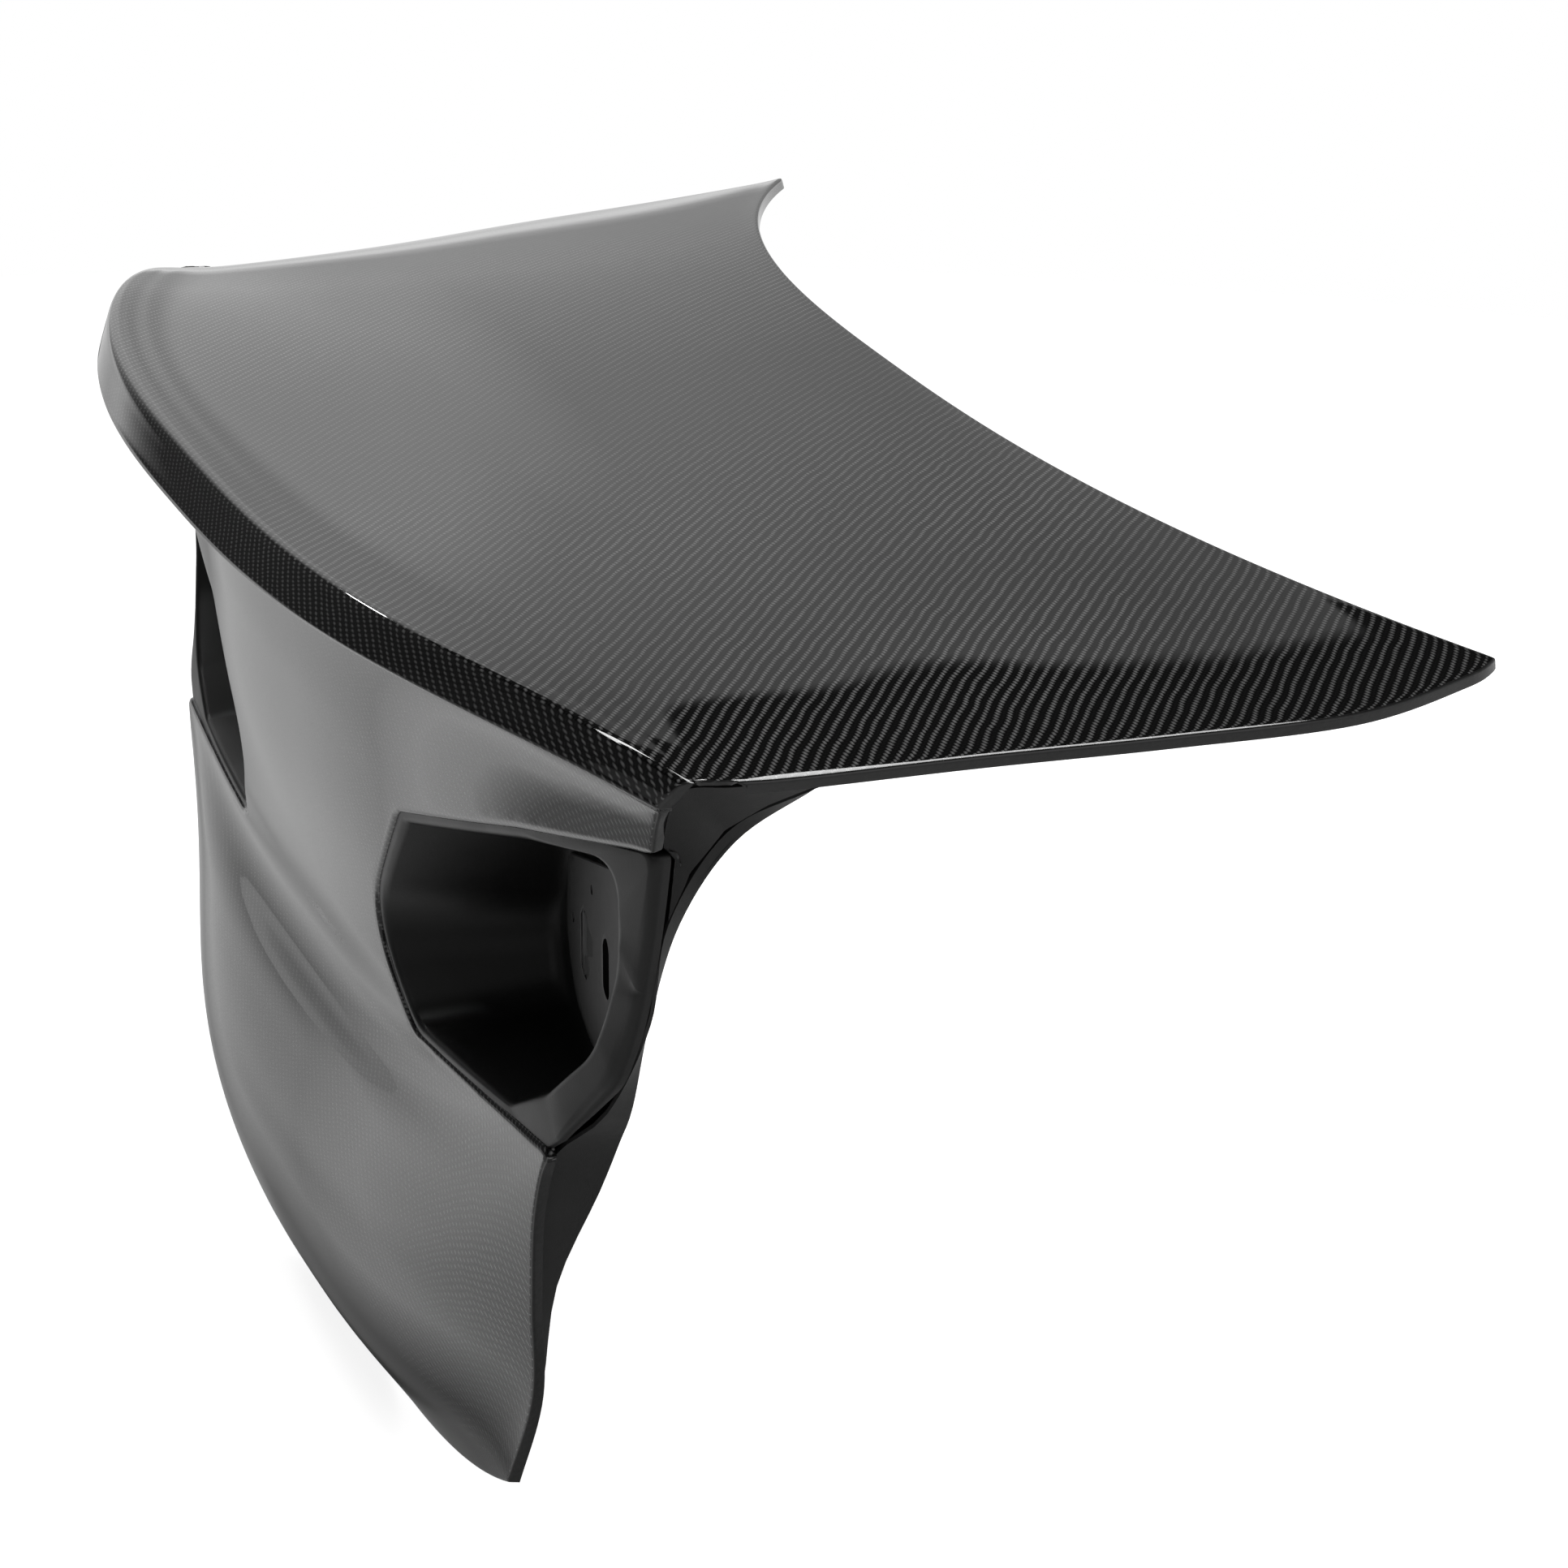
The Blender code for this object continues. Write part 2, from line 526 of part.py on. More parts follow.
# ---------------------------------------------------------------- fixings
def hinge_fixing(side, name, parts, cutters, steel):
    """Steel plate behind the hinge pad, and a weld nut on it for each hinge bolt."""
    low_x, high_x, low_y, high_y, _, pad_top = HINGE_PAD
    floor = pad_top + 2 * GAP
    inset = 0.003
    low_x, high_x = sorted((side * (low_x + inset), side * (high_x - inset)))
    top = floor + PLATE
    plate = block("hinge_plate_" + name, (low_x, high_x, low_y + inset, high_y - inset, floor, top),
                  parts, steel)
    for k, (x, y) in enumerate(HINGE_BOLTS):
        cut(plate, rod(f"plate_hole_{name}_{k}", (side * x, y, floor), "Z", 0.0042, 0.02, cutters))
        place = ("rear", "front")[k]
        nut(f"hinge_nut_{name}_{place}", (side * x, y, top + GAP), "Z", HINGE_NUT, parts, cutters, steel)


def latch_fixing(parts, cutters, steel):
    low_x, high_x, inner_y, _, low_z, high_z = LATCH_PAD
    face = inner_y - 2 * GAP
    inset = 0.004
    plate = block("latch_plate", (low_x + inset, high_x - inset, face - PLATE, face,
                                  low_z + inset, high_z - inset), parts, steel)
    for k, (x, z) in enumerate(LATCH_BOLTS):
        cut(plate, rod(f"latch_plate_hole_{k}", (x, face, z), "Y", 0.0032, 0.02, cutters))
        place = ("left", "right", "lower")[k]
        nut("latch_nut_" + place, (x, face - PLATE - GAP, z), "-Y", LATCH_NUT, parts, cutters, steel)


def bead(name, rows, spread, parts, finish):
    """Strip of adhesive under the skin, between two deck lines or along one side."""
    below = np.array([0, 0, SKIN + 1.5 * GAP])
    bm = grid_bmesh([[across(skin_line_at(y), t) - below for t in spread] for y in rows])
    strip = add_object(name, bm, parts, finish)
    solidify(strip, BEAD)
    return strip


def main():
    clear_scene()
    parts = bpy.data.collections.new("boot_lid")
    cutters = bpy.data.collections.new("cutters")
    for group in (parts, cutters):
        bpy.context.scene.collection.children.link(group)
    outer_skin(parts, cutters, CARBON)
    inner_frame(parts, cutters, MOULDED)
    for side, name in SIDES:
        pocket(side, name, parts, cutters, MOULDED)
        gusset(side, name, parts, MOULDED)
        hinge_fixing(side, name, parts, cutters, ZINC)
        bead("bead_side_" + name, (0.480, 0.420, 0.360, 0.300, 0.240, 0.180, 0.130),
             [side * t for t in (0.940, 0.972)][::side], parts, ADHESIVE)
    latch_fixing(parts, cutters, ZINC)
    bead("bead_front", (0.528, 0.516), np.linspace(-0.94, 0.94, 25), parts, ADHESIVE)
    for name, rows in (("bead_cross_front", (0.298, 0.288)), ("bead_cross_rear", (0.228, 0.218))):
        bead(name, rows, np.linspace(-0.78, 0.78, 21), parts, ADHESIVE)


main()
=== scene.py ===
"""Looks of the carbon-fibre boot lid: fine surfaces, materials, studio and camera.

Shapes are drawn in metres from the same datum as in the part: x to the car's right, y forward, z up.
add_object and block move them to the part's origin.
"""
import math

import bmesh
import bpy
import numpy as np
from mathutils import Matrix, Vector


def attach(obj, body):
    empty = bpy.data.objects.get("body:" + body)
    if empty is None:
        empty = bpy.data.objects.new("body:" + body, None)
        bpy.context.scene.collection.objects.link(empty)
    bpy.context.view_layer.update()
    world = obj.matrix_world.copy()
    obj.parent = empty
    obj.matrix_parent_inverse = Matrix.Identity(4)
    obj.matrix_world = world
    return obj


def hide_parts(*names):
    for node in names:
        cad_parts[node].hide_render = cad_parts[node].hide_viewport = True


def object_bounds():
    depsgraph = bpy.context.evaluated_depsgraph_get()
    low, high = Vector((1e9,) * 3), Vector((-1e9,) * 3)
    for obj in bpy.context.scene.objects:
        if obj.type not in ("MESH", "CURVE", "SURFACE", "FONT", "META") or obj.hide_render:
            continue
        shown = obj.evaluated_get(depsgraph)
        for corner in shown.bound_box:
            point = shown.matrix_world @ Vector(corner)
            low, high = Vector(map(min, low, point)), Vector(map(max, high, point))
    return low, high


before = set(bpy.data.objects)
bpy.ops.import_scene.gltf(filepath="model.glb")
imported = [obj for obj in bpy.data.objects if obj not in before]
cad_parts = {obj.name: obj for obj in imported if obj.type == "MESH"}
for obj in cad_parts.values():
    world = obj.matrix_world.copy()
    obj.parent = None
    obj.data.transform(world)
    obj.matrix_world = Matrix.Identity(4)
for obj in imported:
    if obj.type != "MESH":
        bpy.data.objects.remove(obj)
cad_box = [list(corner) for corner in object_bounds()]

# ------------------------ sizes, as in the part
SKIN = 0.0020            # thickness of the carbon skin
MOULDING = 0.0025        # thickness of the black mouldings
GAP = 0.0004             # room between neighbours
BEAD = 0.0015            # height of the adhesive
HEM = 0.0090             # depth of the skin's turned-in edges
HAT = 0.0180             # depth of the frame's hat sections
DATUM = Vector((0.0, -0.0550, -0.5450))     # the part's origin, from the shape's datum

# Lines across the car, front to rear: half width, end y, end z, middle y, middle z, plan power, crown
# power, steps to the next. They are the part's, but for a lip drawn finer and up to 9 mm away from
# the part's, and for shifts of under 3 mm at the crease, the lower bulge and the bottom.
SKIN_LINES = [
    (0.681, 0.5455, 0.0280, 0.3890, 0.0596, 2.5, 2.4, 2),  # edge below the rear window
    (0.691, 0.5200, 0.0215, 0.3650, 0.0599, 2.5, 2.5, 2),  # rounded front corner
    (0.7045, 0.4400, 0.0105, 0.2900, 0.0589, 2.5, 2.7, 2),  # widest point
    (0.693, 0.3200, 0.0050, 0.1720, 0.0540, 2.6, 3.0, 2),
    (0.675, 0.2000, 0.0000, 0.0550, 0.0450, 2.7, 3.8, 2),
    (0.664, 0.0800, -0.0040, -0.0665, 0.0365, 2.8, 5.5, 2),  # hollow ahead of the ducktail
    (0.6602, 0.0360, -0.0026, -0.1070, 0.0362, 2.83, 6.3, 1),
    (0.6592, 0.0220, -0.0016, -0.1215, 0.0367, 2.84, 6.7, 1),
    (0.6585, 0.0125, -0.0013, -0.1305, 0.0366, 2.85, 7.0, 1),  # deck turns over
    (0.6572, 0.0078, -0.0035, -0.1350, 0.0338, 2.85, 7.0, 1),
    (0.6540, 0.0036, -0.0095, -0.1400, 0.0250, 2.8, 6.5, 1),  # sloping face of the lip
    (0.6480, -0.0008, -0.0172, -0.1468, 0.0120, 2.75, 6.3, 1),
    (0.6465, -0.0020, -0.0200, -0.1490, 0.0076, 2.70, 6.0, 1),  # lower edge of the lip
    (0.6450, -0.0014, -0.0216, -0.1475, 0.0052, 2.60, 5.6, 1),
    (0.6430, -0.0010, -0.0232, -0.1350, 0.0040, 2.35, 4.8, 1),
    (0.6390, -0.0002, -0.0280, -0.0980, -0.0025, 2.2, 3.2, 1),  # tucked in under the lip
    (0.6235, 0.0010, -0.0550, -0.0770, -0.0340, 2.3, 2.6, 2),  # head of the lamp
    (0.5940, 0.0020, -0.1300, -0.0715, -0.1240, 2.4, 2.6, 2),
    (0.5670, -0.0010, -0.2000, -0.0660, -0.2085, 2.6, 2.6, 2),
    (0.5350, -0.0140, -0.2600, -0.0580, -0.2810, 2.6, 2.6, 2),
    (0.4940, -0.0270, -0.3000, -0.0498, -0.3435, 2.6, 2.5, 2),  # crease at the lamp's foot
    (0.4650, -0.0305, -0.3600, -0.0728, -0.4025, 2.6, 2.6, 2),
    (0.4425, -0.0265, -0.4400, -0.0933, -0.4975, 2.6, 2.6, 2),  # lower bulge
    (0.4300, -0.0235, -0.5120, -0.0712, -0.5860, 2.6, 2.6, 2),
    (0.3980, -0.0330, -0.5880, -0.0245, -0.6552, 2.6, 2.6, 1),  # bottom edge
]
LIP_LINE = 8                        # the line on which the deck turns over
LOWER_LIP_LINE = LIP_LINE + 4
TUCK_LINE = LIP_LINE + 6            # the last before the one tucked in under the lip
# The same eight numbers for the frame's rear face.
FRAME_LINES = [
    (0.6280, 0.1080, -0.0255, -0.0200, 0.0120, 2.6, 3.5, 2),   # leaves the deck
    (0.6120, 0.0600, -0.0610, -0.0450, -0.0280, 2.6, 2.8, 2),
    (0.5880, 0.0310, -0.1210, -0.0520, -0.1100, 2.6, 2.6, 2),
    (0.5580, 0.0205, -0.1970, -0.0480, -0.2050, 2.6, 2.6, 2),
    (0.5100, 0.0240, -0.2750, -0.0340, -0.2950, 2.6, 2.6, 1),
    (0.4700, 0.0274, -0.3170, -0.0260, -0.3400, 2.6, 2.6, 1),  # deepest, at the lamp's foot
    (0.4560, 0.0175, -0.3570, -0.0340, -0.3850, 2.6, 2.6, 1),
    (0.4300, -0.0050, -0.4330, -0.0590, -0.4800, 2.6, 2.6, 1),
    (0.4165, -0.0120, -0.5120, -0.0620, -0.5800, 2.6, 2.6, 1),
    (0.3930, -0.0190, -0.5660, -0.0230, -0.6400, 2.6, 2.6, 1),  # bottom flange
]
# Outer edge of the frame's side web, one (x, y, z) for each of those lines.
WEB_EDGE = [
    (0.6470, 0.1000, -0.0190), (0.6150, 0.0535, -0.0530), (0.5935, 0.0215, -0.1190),
    (0.5640, 0.0190, -0.1970), (0.5170, 0.0045, -0.2745), (0.4750, -0.0180, -0.3170),
    (0.4590, -0.0235, -0.3570), (0.4340, -0.0180, -0.4330), (0.4205, -0.0160, -0.5120),
    (0.3975, -0.0215, -0.5670),
]
# Upper edge of a corner gusset: x, y, z and how many lines down the web it is joined to.
GUSSET_EDGE = [
    (0.6590, 0.0960, -0.0090, 0.0), (0.6560, 0.0450, -0.0085, 1.1), (0.6535, 0.0100, -0.0090, 2.0),
    (0.6190, 0.0105, -0.0545, 2.9), (0.6120, 0.0205, -0.0640, 3.3), (0.5990, 0.0215, -0.0980, 4.0),
]
GUSSET_JOINT = 0.0038               # room between a gusset and the web
# The frame under the deck, as (y of the row's end, or place across the car; 1 on a hat section).
DECK_ROWS = [
    (0.530, 0), (0.512, 0), (0.506, 1), (0.455, 1), (0.449, 0), (0.433, 0), (0.300, 0),
    (0.286, 0), (0.280, 1), (0.236, 1), (0.230, 0), (0.216, 0), (0.158, 0), (0.144, 0),
    (0.138, 1),
]
FRAME_COLUMNS = [
    (0.000, 1), (0.080, 1), (0.090, 0), (0.115, 0), (0.280, 0), (0.312, 0), (0.322, 1),
    (0.395, 1), (0.405, 0), (0.427, 0), (0.588, 0), (0.614, 0), (0.775, 0), (0.797, 0),
    (0.807, 1), (0.920, 1), (0.930, 0), (0.982, 0),
]
# Windows: first and last row, first and last column of the cells left open.
WINDOWS = [(5, 6, 3, 4), (5, 6, 9, 10), (5, 6, 11, 12), (11, 12, 3, 4), (11, 12, 9, 10),
           (11, 12, 11, 12), (26, 28, 3, 4), (26, 28, 9, 10)]
REAR_HATS_FROM = -0.350             # the rear hat sections start below this z
# Outlines seen from behind, right side: x, z and corner radius.
LAMP_OPENING = [
    (0.255, -0.1500, 0.012), (0.450, -0.0975, 0.200), (0.600, -0.0640, 0.200), (0.720, -0.0480, 0.0),
    (0.720, -0.3020, 0.0), (0.430, -0.3080, 0.100), (0.230, -0.3180, 0.035), (0.180, -0.2450, 0.120),
]
POCKET_FLANGE = [
    (0.246, -0.1410, 0.012), (0.450, -0.0885, 0.150), (0.6180, -0.0610, 0.006),
    (0.5770, -0.1700, 0.200), (0.5480, -0.2430, 0.060), (0.4965, -0.2990, 0.008),
    (0.4680, -0.3190, 0.010), (0.222, -0.3310, 0.035), (0.170, -0.2450, 0.120),
]
POCKET_MOUTH = [
    (0.262, -0.1545, 0.010), (0.450, -0.1030, 0.150), (0.5750, -0.0780, 0.035),
    (0.5600, -0.1600, 0.150), (0.5250, -0.2300, 0.080), (0.4700, -0.2765, 0.050),
    (0.4150, -0.3040, 0.030), (0.235, -0.3130, 0.032), (0.187, -0.2450, 0.100),
]
POCKET_FOOT = [
    (0.296, -0.1650, 0.015), (0.450, -0.1220, 0.150), (0.5480, -0.0960, 0.030),
    (0.5410, -0.1640, 0.150), (0.5100, -0.2260, 0.080), (0.4640, -0.2640, 0.050),
    (0.4080, -0.2920, 0.030), (0.265, -0.2980, 0.035), (0.235, -0.2420, 0.080),
]
POCKET_PLATFORM = [
    (0.328, -0.1640, 0.015), (0.450, -0.1290, 0.150), (0.5420, -0.1030, 0.025),
    (0.5350, -0.1640, 0.150), (0.5040, -0.2210, 0.080), (0.4600, -0.2560, 0.050),
    (0.4080, -0.2740, 0.040), (0.350, -0.2620, 0.050), (0.318, -0.2250, 0.080),
]
PLATFORM_X, PLATFORM_Y = 0.545, 0.012      # where the lamp's platform stands, at its outboard end
PLATFORM_RAKE = 0.12                # and how much further forward it is per metre inboard
PLATFORM_HEIGHT = 0.011
SKIRT = 0.013                       # depth of the skirt round a pocket's outboard side
SKIRT_ROUND = 0.007
SKIRT_FROM, STEP_UP_TO = 0.46, 0.53        # x where the skirt starts, and the platform's step ends
FADE = 0.08                         # width over which either fades in
POCKET_ROUNDS = (0.002, 0.003, 0.003, 0.005, 0.012, 0.0022)    # from the skirt in to the platform
SLOTS = [(0.387, -0.208, 0.015), (0.462, -0.197, 0.012)]       # x, z, half the straight part
SLOT_RADIUS = 0.009
SLOT_DEPTH = 0.006
CUP_BITE = 0.0055                   # wall of a slot's cup, from its bottom back into the platform
STUD_HOLES = [(0.345, -0.205), (0.413, -0.160), (0.470, -0.235)]
STUD_HOLE_RADIUS = 0.0035
# Pads as low and high x, y and z; bolts as (x, y) under the deck and (x, z) on the rear.
HINGE_PAD = (0.578, 0.626, 0.258, 0.362, -0.0130, 0.0080)
HINGE_BOLTS = [(0.602, 0.280), (0.602, 0.340)]
HINGE_HOLE_RADIUS = 0.0045
LATCH_PAD = (-0.032, 0.032, -0.0665, -0.0550, -0.577, -0.520)
LATCH_BOLTS = [(-0.019, -0.534), (0.019, -0.534), (0.0, -0.562)]
LATCH_HOLE_RADIUS = 0.0035
WINDOW_CORNER = 0.016
POCKET_CLEARANCE = 0.0078           # the frame's cut-outs go this far beyond the pockets' mouths
SIDES = ((1, "right"), (-1, "left"))

# ------------------------ sizes of this file's own
SKIN_FINER = 5           # rows of the skin's mesh for each step of its lines
SKIN_COLUMNS = 90        # columns from the centre plane to one side
COLUMN_CROWDING = 1.25   # how much closer those columns are at the side
REAR_FINER = 30          # samples for each step where the rear face is only looked up
ROUND_STEPS = 40         # sides of a round hole
SHARP = 30               # edges that turn by more degrees than this stay sharp
CORNER_SHARE = 0.45      # a corner takes at most this share of the sides next to it
WELD = 0.00002           # points closer than this are one
TURN = 0.0030            # radius of the skin's turned edges
TURN_STEPS = 7           # rings of faces round a turned edge
OPENING_TURN = 0.0065    # radius of the turned edge round a lamp opening
OPENING_EDGE = 0.0008    # an edge point this close to the cut round the lamp belongs to its opening
OPENING_FOOT = -0.34     # if it also lies above this z
LIP_CORNER = (0.6, 0.045, -0.03)     # beyond this x, behind this y and above this z the edge is the lip's
WORN_EDGE = 0.0003       # bevel of the plates, nuts and beads
TOW = 0.0024             # width of one tow of the twill
DRAPE = 0.17             # how far the cloth's cross tows curve back towards the sides, per metre
# The cross tows' grey is a painted sheen on the same black fibre as the long tows; the long tows' and
# resin's greys are their own.
CROSS_TOW_SHEEN_GREY, LONG_GREY, GROUND_GREY = 0.24, 0.008, 0.003    # of cross tows, long tows and resin
FLOOR_RADIUS = 3.2
FLOOR_DROP = 0.0005      # below the lid's lowest point
FLOOR_GREY = 0.80
FLOOR_GLOW = 0.86        # what the camera sees beside the light that falls on the floor
# Brightness of the studio's wall by height: (0.5 + half the sine of the elevation, grey).
WALL = ((0.0, 0.75), (0.44, 0.75), (0.46, 0.95), (0.48, 0.92), (0.50, 0.70), (0.56, 0.92),
        (0.62, 0.92), (0.78, 0.82), (0.805, 0.80), (0.814, 0.02), (1.0, 0.02))
# A factor by direction, from straight behind the lid (0) to straight ahead of it (1).
WALL_ROUND = ((0.0, 0.10), (0.35, 0.10), (0.51, 1.0), (0.608, 1.0), (0.620, 0.74), (0.64, 0.64),
              (0.67, 0.46), (1.0, 0.44))
# Below the horizon the wall on the left stays bright behind the lid too. Both fade from 1 to 0
# between two values: the sine of the elevation, and how far behind the slanting line it is.
HORIZON_FADE = (-0.06, 0.02)
LEFT_FADE = (0.12, 0.28)
# A line leaves the origin to the left and back, SLANT metres back for each metre to the left. What
# mirrors see of the floor beside the light on it, a painted pool of light and a painted shadow of the
# lid, is given as (metres, factor), first by how far a place is behind that line, then by how far it is
# behind the origin.
SLANT = 0.45
MIRRORED_FLOOR_PAINTED_POOL = ((-0.30, 0.40), (0.05, 0.40), (0.22, 0.85), (0.38, 0.85), (0.52, 0.0))
MIRRORED_FLOOR_PAINTED_SHADOW = ((0.04, 0.0), (0.15, 1.0))
# Lamps: name, place, target, size, watts, and whether the lid mirrors them.
LAMPS = (
    ("top", (0.1, 1.0, 3.2), (0, 0.1, 0.4), (1.8, 0.5), 30, True),
    ("front", (0.8, 3.4, 0.9), (0, 0, 0.25), (2.0, 1.0), 45, False),
    ("fill", (2.5, -2.5, 1.8), (0, 0, 0.3), (1.5, 1.5), 5, True),
    ("tube", (-0.4, -0.38, 3.1), (0.5, 0, 0.55), (2.2, 0.22), 24, True),
    ("spot", (-2.1, -0.6, 2.2), (0.35, 0, 0.57), (0.30, 0.22), 8, True),
)
CAMERA_PLACE = (3.7456, -0.9559, 1.7054)
CAMERA_AZIMUTH, CAMERA_ELEVATION = 70.6137, 19.6647       # degrees round from behind, and up
CAMERA_LENS, CAMERA_SENSOR = 130.43, 36                   # millimetres


# ------------------------ curves and surfaces
def through(rows, steps):
    """A Catmull-Rom curve through rows of numbers, with steps[i] samples in span i."""
    rows = np.asarray(rows, float)
    ends = np.vstack([2 * rows[0] - rows[1], rows, 2 * rows[-1] - rows[-2]])
    out = []
    for i in range(len(rows) - 1):
        a, b, c, d = ends[i:i + 4]
        for k in range(steps[i]):
            s = k / steps[i]
            out.append(0.5 * (2 * b + (c - a) * s + (2 * a - 5 * b + 4 * c - d) * s ** 2
                              + (3 * b - a - 3 * c + d) * s ** 3))
    out.append(rows[-1])
    return np.array(out)


def line_table(lines, finer=1):
    """Lines across the car, with others drawn between them."""
    rows = np.array(lines, float)
    return through(rows[:, :7], [int(steps) * finer for steps in rows[:, 7]])


def across(line, t):
    """Points of a line that runs across the car, for t from -1 (left end) to 1 (right end)."""
    half, end_y, end_z, mid_y, mid_z, plan, crown = line
    t = np.asarray(t, float)
    return np.stack([half * t,
                     mid_y + (end_y - mid_y) * np.abs(t) ** plan,
                     mid_z + (end_z - mid_z) * np.abs(t) ** crown], axis=-1)


def unit(vectors):
    return vectors / np.maximum(np.linalg.norm(vectors, axis=-1, keepdims=True), 1e-12)


def grid_normals(grid):
    """Unit normals of a grid of points, rows front to rear and columns left to right."""
    return unit(np.cross(np.gradient(grid, axis=0), np.gradient(grid, axis=1)))


def smooth(s):
    """A soft step from 0 to 1."""
    s = np.clip(s, 0, 1)
    return s * s * (3 - 2 * s)


def rounded(outline, segments=10, straights=8):
    """Points of a closed outline of (x, z, corner radius), with corners turned as arcs."""
    arcs = []
    count = len(outline)
    for i, (x, z, radius) in enumerate(outline):
        corner = np.array([x, z])
        before = np.array(outline[i - 1][:2]) - corner
        after = np.array(outline[(i + 1) % count][:2]) - corner
        if radius == 0:
            arcs.append(np.array([corner]))
            continue
        reach_of = [np.linalg.norm(before), np.linalg.norm(after)]
        half = math.acos(np.clip(before @ after / (reach_of[0] * reach_of[1]), -1, 1)) / 2
        reach = min(radius / math.tan(half), reach_of[0] * CORNER_SHARE, reach_of[1] * CORNER_SHARE)
        start, end = corner + unit(before) * reach, corner + unit(after) * reach
        s = np.linspace(0, 1, segments + 1)[:, None]
        arcs.append(start * (1 - s) ** 2 + corner * 2 * s * (1 - s) + end * s ** 2)
    out = []
    for i, arc in enumerate(arcs):
        out.extend(arc)
        follow = arcs[(i + 1) % count][0]
        for k in range(1, straights + 1):
            s = k / (straights + 1)
            out.append(arc[-1] * (1 - s) + follow * s)
    return np.array(out)


def grown(outline, by):
    """An outline of (x, z, radius) pushed out from its middle by a distance."""
    middle = np.mean([p[:2] for p in outline], axis=0)
    out = []
    for x, z, radius in outline:
        away = unit(np.array([x, z]) - middle) * by
        out.append((x + away[0], z + away[1], radius))
    return out


def eased(path, radii, segments=5):
    """A path through stacks of points, with each inner corner turned by a radius."""
    out = [path[0]]
    for i in range(1, len(path) - 1):
        before, after = path[i - 1] - path[i], path[i + 1] - path[i]
        room = np.minimum(np.linalg.norm(before, axis=-1), np.linalg.norm(after, axis=-1))
        reach = np.minimum(radii[i - 1], room * CORNER_SHARE)[:, None]
        start, end = path[i] + unit(before) * reach, path[i] + unit(after) * reach
        for s in np.linspace(0, 1, segments + 1):
            out.append(start * (1 - s) ** 2 + path[i] * 2 * s * (1 - s) + end * s ** 2)
    out.append(path[-1])
    return np.array(out)


# ------------------------ objects
def placed(name, data):
    """Object of a mesh, lamp or camera, put in the scene."""
    item = bpy.data.objects.new(name, data)
    bpy.context.scene.collection.objects.link(item)
    return item


def add_object(name, points, faces, finish=None, weave=None):
    """Object of points drawn from the datum, with the weave's coordinates as its UV map."""
    mesh = bpy.data.meshes.new(name)
    mesh.from_pydata([tuple(p) for p in np.asarray(points) - np.array(DATUM)], [], faces)
    if weave is not None:
        layer = mesh.uv_layers.new(name="weave")
        corners = np.empty(len(mesh.loops), int)
        mesh.loops.foreach_get("vertex_index", corners)
        layer.data.foreach_set("uv", np.asarray(weave, np.float32)[corners].ravel())
    mesh.validate()
    item = placed(name, mesh)
    if finish is not None:
        mesh.materials.append(finish)
    resmooth(item)
    return item


def shell(name, grid, normals, finish, closed=False):
    """Moulding of a grid of points, thickened against its normals; closed rows join end to end."""
    rows, columns = grid.shape[:2]
    count = rows * columns
    cells = []
    for i in range(rows - 1):
        for j in range(columns if closed else columns - 1):
            n = (j + 1) % columns
            cells.append((i * columns + j, (i + 1) * columns + j, (i + 1) * columns + n, i * columns + n))
    sides = [(cell[k], cell[(k + 1) % 4]) for cell in cells for k in range(4)]
    seen = set(sides)
    faces = list(cells)
    faces += [tuple(v + count for v in reversed(cell)) for cell in cells]
    faces += [(b, a, a + count, b + count) for a, b in sides if (b, a) not in seen]
    points = np.concatenate([grid.reshape(-1, 3), (grid - normals * MOULDING).reshape(-1, 3)])
    return add_object(name, points, faces, finish)


def prism_faces(outlines, low, high, axis):
    """Points and faces of closed prisms: axis Y takes (x, z) outlines, axis Z takes (x, y)."""
    points, faces = [], []
    for outline in outlines:
        first, count = len(points), len(outline)
        for level in (low, high):
            for a, b in outline:
                points.append((a, level, b) if axis == "Y" else (a, b, level))
        faces.append(tuple(range(first, first + count)))
        faces.append(tuple(reversed(range(first + count, first + 2 * count))))
        for k in range(count):
            n = (k + 1) % count
            faces.append((first + n, first + k, first + count + k, first + count + n))
    return points, faces


def prism(name, outlines, low, high, axis):
    """Object of those prisms, to cut or join with."""
    points, faces = prism_faces(outlines, low, high, axis)
    made = add_object(name, points, faces)
    bm = bmesh.new()
    bm.from_mesh(made.data)
    bmesh.ops.recalc_face_normals(bm, faces=bm.faces[:])
    bm.to_mesh(made.data)
    bm.free()
    return made


def combine(item, other, operation):
    """Cuts another object out of an object or joins it on, for good, and removes the other."""
    change = item.modifiers.new(operation, "BOOLEAN")
    change.operation = operation
    change.solver = "EXACT"
    change.object = other
    apply_modifiers(item)
    bpy.data.objects.remove(other)


def apply_modifiers(item):
    """Makes what an object's modifiers show its own mesh."""
    graph = bpy.context.evaluated_depsgraph_get()
    made = bpy.data.meshes.new_from_object(item.evaluated_get(graph))
    item.modifiers.clear()
    item.data = made


def weld(item):
    bm = bmesh.new()
    bm.from_mesh(item.data)
    bmesh.ops.remove_doubles(bm, verts=bm.verts[:], dist=WELD)
    bm.to_mesh(item.data)
    bm.free()


def resmooth(item):
    item.data.shade_smooth()
    item.data.set_sharp_from_angle(angle=math.radians(SHARP))


def block(name, box, finish, round_by=0.0015):
    """Box from its low and high x, y and z, with rounded edges."""
    low, high = Vector(box[0::2]) - DATUM, Vector(box[1::2]) - DATUM
    bm = bmesh.new()
    bmesh.ops.create_cube(bm, size=1)
    for vert in bm.verts:
        vert.co = Vector([low[k] + (vert.co[k] + 0.5) * (high[k] - low[k]) for k in range(3)])
    bmesh.ops.bevel(bm, geom=bm.edges[:], offset=round_by, segments=3, profile=0.5, affect="EDGES")
    mesh = bpy.data.meshes.new(name)
    bm.to_mesh(mesh)
    bm.free()
    item = placed(name, mesh)
    mesh.materials.append(finish)
    resmooth(item)
    return item


